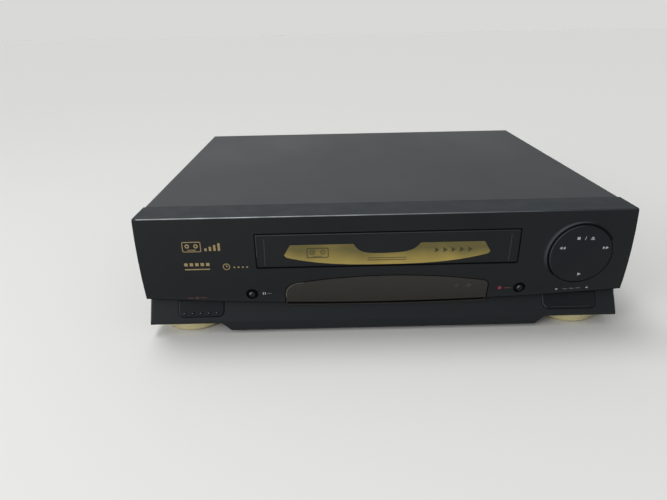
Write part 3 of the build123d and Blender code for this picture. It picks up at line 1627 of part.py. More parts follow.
with BuildPart() as drum_base:
    with BuildSketch(deck_plane(deck_top)):
        with Locations((0, drum_y)):
            Circle(drum_radius - 1)
            Circle(drum_base_bore, mode=Mode.SUBTRACT)
    extrude(amount=drum_half_height)
    split(bisect_by=drum_plane.offset(-drum_half_height), keep=Keep.BOTTOM)
drum_base.part.label = "drum_base"
export_step(drum_base.part, "parts/drum_base.step")

with BuildPart() as lower_drum:
    with BuildSketch(drum_plane.offset(-drum_half_height)):
        Circle(drum_radius)
        Circle(drum_shaft_radius + running_play, mode=Mode.SUBTRACT)
    extrude(amount=drum_half_height - drum_split_gap)
    # step that the lower edge of the tape runs on
    with BuildSketch(drum_plane.offset(-drum_half_height)):
        Circle(drum_radius)
        Circle(drum_radius - drum_step, mode=Mode.SUBTRACT)
    extrude(amount=drum_half_height / 3, mode=Mode.SUBTRACT)
lower_drum.part.label = "lower_drum"
export_step(lower_drum.part, "parts/lower_drum.step")

with BuildPart() as head_drum:
    with BuildSketch(drum_plane.offset(drum_split_gap)):
        Circle(drum_radius)
    extrude(amount=drum_half_height - drum_split_gap)
    chamfer(head_drum.edges().group_by(SortBy.LENGTH)[-1].sort_by(Axis.Z)[-1], drum_chamfer)
    # sunk ring and screw holes in the top
    with BuildSketch(drum_plane.offset(drum_half_height)):
        Circle(drum_radius - drum_top_rim)
        Circle(drum_radius / 3, mode=Mode.SUBTRACT)
    extrude(amount=-drum_top_recess, mode=Mode.SUBTRACT)
    with BuildSketch(drum_plane.offset(drum_half_height)):
        with PolarLocations(drum_radius / 5, 2):
            Circle(screw_hole_radius)
    extrude(amount=-drum_half_height / 2, mode=Mode.SUBTRACT)
    # notches that the video heads sit in
    with BuildSketch(drum_plane.offset(drum_split_gap)):
        with PolarLocations(drum_radius, head_count):
            Rectangle(2 * drum_step, head_notch_width)
    extrude(amount=head_notch_width, mode=Mode.SUBTRACT)
    with BuildSketch(drum_plane.offset(drum_split_gap)):
        Circle(drum_shaft_radius)
    extrude(amount=-(rotor_drop + 1))
head_drum.part.label = "head_drum"
export_step(head_drum.part, "parts/head_drum.step")

with BuildPart() as drum_rotor:
    with BuildSketch(drum_plane.offset(-rotor_drop)):
        Circle(rotor_radius)
    extrude(amount=rotor_height)
    with BuildSketch(drum_plane.offset(-rotor_drop + rotor_height)):
        Circle(rotor_radius - rotor_rim)
        Circle(rotor_radius / 3, mode=Mode.SUBTRACT)
    extrude(amount=-rotor_height / 2, mode=Mode.SUBTRACT)
    with BuildSketch(drum_plane.offset(-rotor_drop)):
        Circle(rotor_radius / 3)
    extrude(amount=2 * rotor_height)
    with BuildSketch(drum_plane.offset(-rotor_drop)):
        Circle(drum_shaft_radius)
    extrude(amount=2 * rotor_height, mode=Mode.SUBTRACT)
drum_rotor.part.label = "drum_rotor"
export_step(drum_rotor.part, "parts/drum_rotor.step")

# ---------------------------------------------------------------- capstan and pinch roller
with BuildPart() as capstan_bearing:
    with BuildSketch(deck_plane(bearing_bottom)):
        with Locations(capstan_at):
            Circle(bearing_radius)
    extrude(amount=bearing_top - bearing_bottom)
    with BuildSketch(deck_plane(deck_top)):
        with Locations(capstan_at):
            RegularPolygon(bearing_radius + 2 * bearing_flange, 3)
            Circle(bearing_radius + bearing_flange)
    extrude(amount=deck_sheet)
    with BuildSketch(deck_plane(bearing_bottom)):
        with Locations(capstan_at):
            Circle(capstan_radius + running_play)
    extrude(amount=bearing_top - bearing_bottom, mode=Mode.SUBTRACT)
    top_circles = capstan_bearing.edges().filter_by(GeomType.CIRCLE).group_by(Axis.Z)[-1]
    chamfer(top_circles.sort_by(SortBy.RADIUS)[-1], bearing_edge)
capstan_bearing.part.label = "capstan_bearing"
export_step(capstan_bearing.part, "parts/capstan_bearing.step")

with BuildPart() as capstan:
    with BuildSketch(deck_plane(flywheel_bottom)):
        with Locations(capstan_at):
            Circle(flywheel_radius)
    extrude(amount=flywheel_height)
    with BuildSketch(deck_plane(flywheel_bottom + flywheel_height)):
        with Locations(capstan_at):
            Circle(flywheel_radius - flywheel_rim)
            Circle(bearing_radius + 1, mode=Mode.SUBTRACT)
    extrude(amount=-flywheel_height / 2, mode=Mode.SUBTRACT)
    with BuildSketch(deck_plane(flywheel_bottom)):
        with Locations(capstan_at):
            Circle(capstan_radius)
    extrude(amount=capstan_top - flywheel_bottom)
    chamfer(capstan.edges().group_by(Axis.Z)[-1], 0.4)
capstan.part.label = "capstan"
export_step(capstan.part, "parts/capstan.step")


def lever(pivot, end, bottom, height, width, hub_radius, hub_bottom, hub_top, bore):
    """Flat lever between two places of the deck with a bored hub over its pivot pin."""
    length = hypot(end[0] - pivot[0], end[1] - pivot[1])
    turn = degrees(atan2(end[1] - pivot[1], end[0] - pivot[0]))
    with BuildPart() as arm:
        with BuildSketch(deck_plane(bottom)):
            with Locations(((pivot[0] + end[0]) / 2, (pivot[1] + end[1]) / 2)):
                SlotCenterToCenter(length, width, rotation=turn)
        extrude(amount=height)
        with BuildSketch(deck_plane(hub_bottom)):
            with Locations(pivot):
                Circle(hub_radius)
        extrude(amount=hub_top - hub_bottom)
        with BuildSketch(deck_plane(hub_bottom)):
            with Locations(pivot):
                Circle(bore)
        extrude(amount=hub_top - hub_bottom, mode=Mode.SUBTRACT)
    return arm.part


with BuildPart() as pinch_arm:
    add(
        lever(
            pinch_pivot_at,
            pinch_rest_at,
            pinch_arm_bottom,
            pinch_arm_height,
            pinch_roller_radius,
            2 * reel_post_radius,
            deck_top + body_gap,
            lever_post_top - 2,
            reel_post_radius + running_play,
        )
    )
    with BuildSketch(deck_plane(pinch_arm_bottom)):
        with Locations(pinch_rest_at):
            Circle(lever_pin_radius)
    extrude(amount=pinch_roller_bottom + pinch_roller_height + 2 - pinch_arm_bottom)
    # collars below and above the roller
    for low, high in (
        (pinch_arm_bottom + pinch_arm_height, pinch_roller_bottom - body_gap),
        (pinch_roller_bottom + pinch_roller_height + body_gap, pinch_roller_bottom + pinch_roller_height + 2),
    ):
        with BuildSketch(deck_plane(low)):
            with Locations(pinch_rest_at):
                Circle(2 * lever_pin_radius)
        extrude(amount=high - low)
pinch_arm.part.label = "pinch_arm"
export_step(pinch_arm.part, "parts/pinch_arm.step")

with BuildPart() as pinch_roller:
    with BuildSketch(deck_plane(pinch_roller_bottom)):
        with Locations(pinch_rest_at):
            Circle(pinch_roller_radius)
            Circle(lever_pin_radius + running_play, mode=Mode.SUBTRACT)
    extrude(amount=pinch_roller_height)
    fillet(pinch_roller.edges().filter_by(GeomType.CIRCLE).group_by(SortBy.RADIUS)[-1], soft_edge)
    # sunk ends between the rubber tyre and the hub
    for height, depth in (
        (pinch_roller_bottom, roller_recess),
        (pinch_roller_bottom + pinch_roller_height, -roller_recess),
    ):
        with BuildSketch(deck_plane(height)):
            with Locations(pinch_rest_at):
                Circle(pinch_roller_radius - roller_tyre)
                Circle(2 * lever_pin_radius, mode=Mode.SUBTRACT)
        extrude(amount=depth, mode=Mode.SUBTRACT)
pinch_roller.part.label = "pinch_roller"
export_step(pinch_roller.part, "parts/pinch_roller.step")


# ---------------------------------------------------------------- reels
def reel_table(side):
    """Toothed table with a splined spindle that fits the hub of a cassette's reel."""
    place = (side * reel_spacing / 2, reel_y)
    with BuildPart() as table:
        with BuildSketch(deck_plane(reel_gear_bottom)):
            with Locations(place):
                Polygon(
                    *gear_outline(reel_teeth, reel_gear_radius - tooth_height, reel_gear_radius),
                    align=None,
                )
        extrude(amount=reel_gear_height)
        with BuildSketch(deck_plane(reel_gear_bottom)):
            with Locations(place):
                Circle(reel_disc_radius)
        extrude(amount=reel_disc_top - reel_gear_bottom)
        with BuildSketch(deck_plane(reel_disc_top)):
            with Locations(place):
                Circle(reel_spindle_radius)
                with PolarLocations(reel_spindle_radius, reel_spline_count):
                    Rectangle(2 * reel_spline_reach, reel_spline_width)
        extrude(amount=reel_spindle_top - reel_disc_top)
        chamfer(table.edges().group_by(Axis.Z)[-1], soft_edge)
        with BuildSketch(deck_plane(reel_gear_bottom)):
            with Locations(place):
                Circle(reel_post_radius + running_play)
        extrude(amount=reel_spindle_top, mode=Mode.SUBTRACT)
    return table


supply_reel = reel_table(-1)
supply_reel.part.label = "supply_reel"
export_step(supply_reel.part, "parts/supply_reel.step")

takeup_reel = reel_table(1)
takeup_reel.part.label = "takeup_reel"
export_step(takeup_reel.part, "parts/takeup_reel.step")

idler_at = (0, idler_pivot_y - idler_reach)
idler_arm_bottom = reel_gear_bottom + reel_gear_height + body_gap
with BuildPart() as idler_arm:
    add(
        lever(
            (0, idler_pivot_y),
            idler_at,
            idler_arm_bottom,
            lever_sheet,
            lever_width,
            lever_width / 2 + 1,
            deck_top + body_gap,
            idler_arm_bottom + lever_sheet,
            lever_pin_radius + running_play,
        )
    )
    # axle below the arm with a collar that keeps the gear on
    with BuildSketch(deck_plane(idler_arm_bottom)):
        with Locations(idler_at):
            Circle(idler_axle_radius)
    extrude(amount=-(idler_arm_bottom - deck_top - body_gap))
    with BuildSketch(deck_plane(deck_top + body_gap)):
        with Locations(idler_at):
            Circle(2 * idler_axle_radius)
    extrude(amount=reel_gear_bottom - deck_top - 2 * body_gap)
idler_arm.part.label = "idler_arm"
export_step(idler_arm.part, "parts/idler_arm.step")

with BuildPart() as idler_gear:
    with BuildSketch(deck_plane(reel_gear_bottom)):
        with Locations(idler_at):
            Polygon(
                *gear_outline(idler_teeth, idler_gear_radius - tooth_height, idler_gear_radius),
                align=None,
            )
            Circle(idler_axle_radius + running_play, mode=Mode.SUBTRACT)
            with PolarLocations(idler_gear_radius / 2, 4):
                Circle(idler_gear_radius / 6, mode=Mode.SUBTRACT)
    extrude(amount=reel_gear_height)
idler_gear.part.label = "idler_gear"
export_step(idler_gear.part, "parts/idler_gear.step")


# ---------------------------------------------------------------- tape guides
def guide_carriage(side):
    """Carriage in a slot of the deck, with a roller pin and a slanted post."""
    place = (side * guide_rest_at[0], guide_rest_at[1])
    turn = 90 - side * guide_lean
    with BuildPart() as carriage:
        with BuildSketch(deck_plane(deck_top + body_gap)):
            with Locations(place):
                SlotOverall(guide_base_length, guide_base_width, rotation=turn)
        extrude(amount=guide_base_top - deck_top - body_gap)
        # neck through the slot and the disc that holds it from below
        with BuildSketch(deck_plane(deck_top + body_gap)):
            with Locations(place):
                Circle(guide_slot_radius - 2 * pin_play)
        extrude(amount=-(deck_sheet + 2 * body_gap))
        with BuildSketch(deck_plane(deck_bottom - body_gap)):
            with Locations(place):
                Circle(1.5 * guide_slot_radius)
        extrude(amount=-deck_sheet)
        with BuildSketch(deck_plane(guide_base_top)):
            with Locations(place):
                Circle(guide_post_radius)
        extrude(amount=guide_top - guide_base_top)
        for low, high in (
            (guide_base_top, guide_roller_bottom - body_gap),
            (guide_roller_top + body_gap, guide_top - 1),
        ):
            with BuildSketch(deck_plane(low)):
                with Locations(place):
                    Circle(guide_roller_radius)
            extrude(amount=high - low)
        # slanted post beside the roller
        slant_x = deck_x + place[0] + side * guide_slant_offset
        slant_y = deck_y + place[1] + guide_slant_offset / 2
        lean = radians(guide_slant)
        slant_plane = Plane(
            (slant_x, slant_y, guide_base_top - 1),
            x_dir=(0, 1, 0),
            z_dir=(side * sin(lean), 0, cos(lean)),
        )
        with BuildSketch(slant_plane):
            Circle(guide_post_radius)
        extrude(amount=guide_roller_top - guide_base_top)
    return carriage


supply_guide = guide_carriage(-1)
supply_guide.part.label = "supply_guide"
export_step(supply_guide.part, "parts/supply_guide.step")

takeup_guide = guide_carriage(1)
takeup_guide.part.label = "takeup_guide"
export_step(takeup_guide.part, "parts/takeup_guide.step")


def guide_roller(side):
    """Flanged roller on the pin of a carriage."""
    place = (side * guide_rest_at[0], guide_rest_at[1])
    with BuildPart() as roller:
        with BuildSketch(deck_plane(guide_roller_bottom)):
            with Locations(place):
                Circle(guide_roller_radius)
        extrude(amount=guide_roller_top - guide_roller_bottom)
        with BuildSketch(deck_plane(guide_roller_bottom + guide_flange)):
            with Locations(place):
                Circle(guide_roller_radius)
                Circle(guide_roller_radius - soft_edge, mode=Mode.SUBTRACT)
        extrude(amount=guide_roller_top - guide_roller_bottom - 2 * guide_flange, mode=Mode.SUBTRACT)
        with BuildSketch(deck_plane(guide_roller_bottom)):
            with Locations(place):
                Circle(guide_post_radius + running_play)
        extrude(amount=guide_roller_top - guide_roller_bottom, mode=Mode.SUBTRACT)
    return roller


supply_guide_roller = guide_roller(-1)
supply_guide_roller.part.label = "supply_guide_roller"
export_step(supply_guide_roller.part, "parts/supply_guide_roller.step")

takeup_guide_roller = guide_roller(1)
takeup_guide_roller.part.label = "takeup_guide_roller"
export_step(takeup_guide_roller.part, "parts/takeup_guide_roller.step")

with BuildPart() as tension_arm:
    tension_arm_bottom = guide_base_top + body_gap
    add(
        lever(
            tension_pivot_at,
            tension_post_at,
            tension_arm_bottom,
            lever_sheet,
            lever_width,
            lever_width / 2 + 1,
            deck_top + body_gap,
            tension_arm_bottom + lever_sheet,
            lever_pin_radius + running_play,
        )
    )
    with BuildSketch(deck_plane(tension_arm_bottom)):
        with Locations(tension_post_at):
            Circle(guide_post_radius)
    extrude(amount=guide_roller_top - tension_arm_bottom)
    fillet(tension_arm.edges().group_by(Axis.Z)[-1], 0.5)
tension_arm.part.label = "tension_arm"
export_step(tension_arm.part, "parts/tension_arm.step")


# ---------------------------------------------------------------- fixed heads
def fixed_head(place, foot, core):
    """Magnetic head on a foot plate: a pillar, a table and a block with a rounded face."""
    with BuildPart() as head:
        with BuildSketch(deck_plane(deck_top)):
            with Locations(place):
                RectangleRounded(foot[0], foot[1], head_foot_corner)
        extrude(amount=deck_sheet)
        with BuildSketch(deck_plane(deck_top)):
            with Locations(place):
                Circle(head_pillar_radius)
        extrude(amount=head_bottom - deck_top)
        with BuildSketch(deck_plane(head_bottom - deck_sheet)):
            with Locations(place):
                Rectangle(foot[0], core[1] + 2)
        extrude(amount=deck_sheet)
        with BuildSketch(deck_plane(head_bottom)):
            with Locations(place):
                Rectangle(core[0], core[1])
        extrude(amount=head_height)
        fillet(head.edges().filter_by(Axis.Z).group_by(SortBy.LENGTH)[-1], core[0] / 5)
    return head


erase_head = fixed_head(erase_head_at, erase_head_foot, erase_head_core)
erase_head.part.label = "erase_head"
export_step(erase_head.part, "parts/erase_head.step")

audio_head = fixed_head(audio_head_at, audio_head_foot, audio_head_core)
audio_head.part.label = "audio_head"
export_step(audio_head.part, "parts/audio_head.step")

# ---------------------------------------------------------------- loading drive
worm_y = cam_at[1] + cam_radius + body_gap + worm_radius
worm_z = cam_bottom + cam_height / 2
with BuildPart() as loading_motor:
    with BuildSketch(deck_side(motor_start)):
        with Locations((worm_y, worm_z)):
            Circle(motor_radius)
    extrude(amount=motor_length)
    chamfer(loading_motor.edges().group_by(Axis.X)[0], motor_edge)
    # saddle below the motor and the bearing at the far end of the worm
    saddle_width = 1.6 * motor_radius
    with BuildSketch(deck_side(motor_start + saddle_inset)):
        with Locations((worm_y, deck_top)):
            Rectangle(saddle_width, worm_z - deck_top, align=(Align.CENTER, Align.MIN))
    extrude(amount=motor_length - 2 * saddle_inset)
    with BuildSketch(deck_side(worm_end + saddle_inset)):
        with Locations((worm_y, deck_top)):
            Rectangle(saddle_width / 2, worm_z + 3 - deck_top, align=(Align.CENTER, Align.MIN))
    extrude(amount=worm_bearing_width)
    with BuildSketch(deck_side(motor_start + motor_length)):
        with Locations((worm_y, worm_z)):
            Circle(worm_shaft_radius + running_play)
    extrude(amount=-worm_shaft_depth, mode=Mode.SUBTRACT)
    with BuildSketch(deck_side(worm_end)):
        with Locations((worm_y, worm_z)):
            Circle(worm_shaft_radius + running_play)
    extrude(amount=worm_bearing_width + 4, mode=Mode.SUBTRACT)
loading_motor.part.label = "loading_motor"
export_step(loading_motor.part, "parts/loading_motor.step")

with BuildPart() as loading_worm:
    with BuildSketch(deck_side(motor_start + motor_length - worm_shaft_depth + worm_play)):
        with Locations((worm_y, worm_z)):
            Circle(worm_shaft_radius)
    extrude(amount=worm_end + worm_bearing_width + 3 - motor_start - motor_length + worm_shaft_depth)
    with BuildSketch(deck_side(worm_start)):
        with Locations((worm_y, worm_z)):
            Circle(worm_radius - worm_thread_height)
    extrude(amount=worm_end - worm_start)
    # thread wound round the core
    turn_pitch = pi * cam_radius * 2 / cam_teeth
    thread_start = (deck_x + worm_start + saddle_inset, deck_y + worm_y, worm_z)
    with BuildLine():
        wind = Helix(
            turn_pitch,
            worm_end - worm_start - 2 * saddle_inset,
            worm_radius - worm_thread_height,
            center=thread_start,
            direction=(1, 0, 0),
        )
    with BuildSketch(Plane(wind @ 0, x_dir=(1, 0, 0), z_dir=wind % 0)):
        Rectangle(0.4 * turn_pitch, 2 * worm_thread_height)
    sweep(path=wind, is_frenet=True)
loading_worm.part.label = "loading_worm"
export_step(loading_worm.part, "parts/loading_worm.step")

with BuildPart() as cam_gear:
    with BuildSketch(deck_plane(cam_bottom)):
        with Locations(cam_at):
            Polygon(*gear_outline(cam_teeth, cam_radius - tooth_height, cam_radius), align=None)
    extrude(amount=cam_height)
    with BuildSketch(deck_plane(deck_top + body_gap)):
        with Locations(cam_at):
            Circle(2 * cam_post_radius)
    extrude(amount=cam_bottom - deck_top - body_gap)
    # off-centre groove that steers the levers
    with BuildSketch(deck_plane(cam_bottom + cam_height)):
        with Locations((cam_at[0] + cam_groove_shift, cam_at[1])):
            Circle(cam_radius * 0.75)
            Circle(cam_radius * 0.6, mode=Mode.SUBTRACT)
    extrude(amount=-cam_height / 3, mode=Mode.SUBTRACT)
    with BuildSketch(deck_plane(deck_top)):
        with Locations(cam_at):
            Circle(cam_post_radius + running_play)
    extrude(amount=2 * cam_bottom, mode=Mode.SUBTRACT)
cam_gear.part.label = "cam_gear"
export_step(cam_gear.part, "parts/cam_gear.step")
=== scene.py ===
"""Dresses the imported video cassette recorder: finishes, printed marks, sockets' details, light and camera."""

import json
import logging
import math
from dataclasses import dataclass, field
from enum import Enum

import bmesh
import bpy
import numpy as np
from mathutils import Matrix, Vector


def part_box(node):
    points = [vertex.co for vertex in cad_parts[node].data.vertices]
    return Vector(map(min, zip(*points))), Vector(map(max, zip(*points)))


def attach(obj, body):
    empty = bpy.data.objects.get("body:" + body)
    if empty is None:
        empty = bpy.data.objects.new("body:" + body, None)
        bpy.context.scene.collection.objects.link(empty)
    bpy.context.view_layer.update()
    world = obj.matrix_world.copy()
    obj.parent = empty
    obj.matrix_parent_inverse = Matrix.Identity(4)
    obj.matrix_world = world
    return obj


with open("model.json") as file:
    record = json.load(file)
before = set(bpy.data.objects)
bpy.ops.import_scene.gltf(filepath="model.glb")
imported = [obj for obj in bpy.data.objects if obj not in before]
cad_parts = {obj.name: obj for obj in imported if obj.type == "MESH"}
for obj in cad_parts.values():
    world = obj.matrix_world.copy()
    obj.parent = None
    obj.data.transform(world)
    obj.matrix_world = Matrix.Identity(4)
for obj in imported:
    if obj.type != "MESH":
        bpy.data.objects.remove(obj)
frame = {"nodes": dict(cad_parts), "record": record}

log = logging.getLogger("recorder")
MM = 0.001


def linear(red: float, green: float, blue: float) -> tuple[float, float, float, float]:
    """Turns a display colour into a scene-linear one.

    Args:
        red, green, blue: display values from 0 to 255.

    Returns:
        Linear red, green, blue and an alpha of 1.
    """
    share = np.array([red, green, blue]) / 255.0
    value = np.where(share <= 0.04045, share / 12.92, ((share + 0.055) / 1.055) ** 2.4)
    return (float(value[0]), float(value[1]), float(value[2]), 1.0)


# ------------------------------------------------------------------ surfaces
class Facing(Enum):
    """Way that an arrowhead points, as the turn of its tip from the right in degrees."""

    RIGHT = 0
    UP = 90
    LEFT = 180
    DOWN = 270


@dataclass
class Shell:
    """Gathers closed sheets and tubes of points and makes one object of them."""

    name: str
    points: list = field(default_factory=list)
    faces: list = field(default_factory=list)
    count: int = 0

    def add_tube(self, rings: np.ndarray, closed_path: bool = False) -> None:
        """Adds a tube whose cross-section is a closed loop of points.

        Face (i, j) joins ring i and ring i + 1 between their points j and j + 1, counted round the
        loop. Unless the path is closed, a fan of faces about the mean point shuts each end.

        Args:
            rings: array of shape (rings, points round the loop, 3).
            closed_path: True where the last ring joins the first.
        """
        along, around, _ = rings.shape
        i = np.arange(along if closed_path else along - 1)[:, None]
        j = np.arange(around)[None, :]
        after_i = (i + 1) % along
        after_j = (j + 1) % around
        quads = np.stack(
            [i * around + j, i * around + after_j, after_i * around + after_j, after_i * around + j], axis=-1
        ).reshape(-1, 4)
        self.points.append(rings.reshape(-1, 3))
        self.faces.extend((quads + self.count).tolist())
        base = self.count
        self.count += along * around
        if not closed_path:
            for ring in (0, along - 1):
                hub = rings[ring].mean(axis=0, keepdims=True)
                self.points.append(hub)
                first = np.arange(around)
                fan = np.stack([base + ring * around + first, base + ring * around + (first + 1) % around], axis=-1)
                self.faces.extend([[a, b, self.count] for a, b in fan.tolist()])
                self.count += 1

    def add_slab(self, outer: np.ndarray, inner: np.ndarray, closed_path: bool = False) -> None:
        """Adds a thin closed slab between two sheets of points with the same layout.

        The cross-section at u is the row outer(u, 0..n) followed by inner(u, n..0).

        Args:
            outer: array of shape (along, across, 3).
            inner: array of the same shape, behind the outer one.
            closed_path: True where the slab runs round and meets itself.
        """
        self.add_tube(np.concatenate([outer, inner[:, ::-1]], axis=1), closed_path)

    def add_turned(self, profile: np.ndarray, centre: tuple, axis: tuple, sides: int = 48) -> None:
        """Adds a turned form: point(t, a) = centre + axis * h(t) + r(t) * (u cos a + v sin a).

        Args:
            profile: array of shape (n, 2) with radius and height, from one end of the axis to the other.
            centre: foot of the axis.
            axis: direction of the axis.
            sides: number of points round it.
        """
        normal = np.array(axis, float) / np.linalg.norm(axis)
        helper = np.array([1.0, 0.0, 0.0]) if abs(normal[0]) < 0.9 else np.array([0.0, 1.0, 0.0])
        u = np.cross(normal, helper)
        u /= np.linalg.norm(u)
        v = np.cross(normal, u)
        turn = np.linspace(0, 2 * math.pi, sides, endpoint=False)
        circle = np.cos(turn)[:, None] * u + np.sin(turn)[:, None] * v
        rings = np.array(centre) + profile[:, 1, None, None] * normal + profile[:, 0, None, None] * circle
        self.add_tube(rings)

    def build(self, body: str, material: bpy.types.Material, slot: str, smooth: bool = False) -> bpy.types.Object:
        """Makes the object, turns its faces outwards and lets it ride on a body.

        Args:
            body: body that it moves with.
            material: its finish.
            slot: material slot of the record that the finish belongs to; not used.
            smooth: True for smooth shading.

        Returns:
            The finished object.
        """
        mesh = bpy.data.meshes.new(self.name)
        mesh.from_pydata(np.concatenate(self.points).tolist(), [], self.faces)
        work = bmesh.new()
        work.from_mesh(mesh)
        bmesh.ops.remove_doubles(work, verts=work.verts, dist=1e-7)
        bmesh.ops.recalc_face_normals(work, faces=work.faces)
        work.to_mesh(mesh)
        work.free()
        if smooth:
            mesh.polygons.foreach_set("use_smooth", np.ones(len(mesh.polygons), bool))
        mesh.materials.append(material)
        piece = bpy.data.objects.new(self.name, mesh)
        bpy.context.scene.collection.objects.link(piece)
        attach(piece, body)
        log.info("piece %s: %d points on %s", self.name, self.count, body)
        return piece


# ------------------------------------------------------------------ flat shapes, as grids of (x, z) in mm
def bar(x: float, z: float, width: float, height: float, slant: float = 0.0) -> np.ndarray:
    """Bar: x(s) = x + (s - 1/2) width + slant (t - 1/2) height, z(t) = z + (t - 1/2) height."""
    s, t = np.meshgrid(np.linspace(-0.5, 0.5, 9), np.linspace(-0.5, 0.5, 5), indexing="ij")
    return np.stack([x + s * width + slant * t * height, z + t * height], axis=-1)


def arrowhead(x: float, z: float, length: float, width: float, facing: Facing) -> np.ndarray:
    """Triangle whose half width falls as (1 - s) from its base to its tip, turned to face one way."""
    s, t = np.meshgrid(np.linspace(0.0, 0.98, 7), np.linspace(-0.5, 0.5, 5), indexing="ij")
    along = (s - 0.5) * length
    across = t * width * (1 - s)
    turn = math.radians(facing.value)
    return np.stack(
        [x + along * math.cos(turn) - across * math.sin(turn), z + along * math.sin(turn) + across * math.cos(turn)],
        axis=-1,
    )


def ring(x: float, z: float, inner: float, outer: float, start: float = 0.0, sweep: float = 360.0) -> np.ndarray:
    """Ring: (x + r cos a, z + r sin a) for r from inner to outer and a over the sweep."""
    turn = np.radians(np.linspace(start, start + sweep, 49))
    radius = np.linspace(inner, outer, 4)
    a, r = np.meshgrid(turn, radius, indexing="ij")
    return np.stack([x + r * np.cos(a), z + r * np.sin(a)], axis=-1)


def tapered_arc(x: float, z: float, radius: float, width: float, start: float, sweep: float) -> np.ndarray:
    """Arc of a circle that is thickest in its middle: its width is width sin(pi s) for s from 0 to 1."""
    share = np.linspace(0.02, 0.98, 61)
    turn = np.radians(start + sweep * share)
    thick = width * np.sin(math.pi * share)
    rows = radius - np.linspace(0, 1, 3)[None, :] * thick[:, None]
    return np.stack([x + rows * np.cos(turn)[:, None], z + rows * np.sin(turn)[:, None]], axis=-1)


def stroke(path: np.ndarray, width: float) -> np.ndarray:
    """Line of even width along a path: each point moved by +-width/2 across the path's direction.

    Args:
        path: points (x, z) in mm, of shape (n, 2).
        width: width of the line in mm.

    Returns:
        Grid of (x, z) of shape (n, 3, 2).
    """
    along = np.gradient(path, axis=0)
    along /= np.linalg.norm(along, axis=1, keepdims=True)
    across = np.stack([-along[:, 1], along[:, 0]], axis=-1)
    return path[:, None, :] + np.array([-0.5, 0.0, 0.5])[None, :, None] * width * across[:, None, :]


def frame_line(x: float, z: float, width: float, height: float, line: float, corner: float) -> np.ndarray:
    """Outline of a rounded rectangle: four quarter arcs about the corners' centres, drawn line wide."""
    quarter = np.radians(np.linspace(0, 90, 7))
    turn = np.concatenate([quarter + k * math.pi / 2 for k in range(4)] + [[2 * math.pi]])
    side_x = np.concatenate([np.full(7, sx) for sx in (1, -1, -1, 1)] + [[1]])
    side_z = np.concatenate([np.full(7, sz) for sz in (1, 1, -1, -1)] + [[1]])
    rows = []
    for share in (0.0, 0.5, 1.0):
        radius = corner - share * line
        rows.append(
            np.stack(
                [
                    x + side_x * (width / 2 - corner) + radius * np.cos(turn),
                    z + side_z * (height / 2 - corner) + radius * np.sin(turn),
                ],
                axis=-1,
            )
        )
    return np.stack(rows, axis=1)


@dataclass(frozen=True)
class CurvedFace:
    """The front's arc: y = front + R - sqrt((R + lift)^2 - (z - apex)^2), in mm."""

    front: float = -156.0
    radius: float = 250.0
    apex: float = 69.0

    def depth(self, height: np.ndarray, lift: float) -> np.ndarray:
        """Depth of the arc at a height, raised out of the face by lift."""
        return self.front + self.radius - np.sqrt((self.radius + lift) ** 2 - (height - self.apex) ** 2)

    def print_on(self, shell: Shell, shape: np.ndarray, level: float, ink: float = 0.03) -> None:
        """Adds a flat shape as a thin layer on the face: ink for print, and also painted shade and highlights.

        Args:
            shell: mesh that takes the ink.
            shape: grid of (x, z) in mm.
            level: how far the printed surface is raised from the face, in mm.
            ink: thickness of the ink in mm.
        """
        sheets = []
        for lift in (level + ink, level - ink):
            depth = self.depth(shape[..., 1], lift)
            sheets.append(np.stack([shape[..., 0], depth, shape[..., 1]], axis=-1) * MM)
        shell.add_slab(sheets[0], sheets[1])


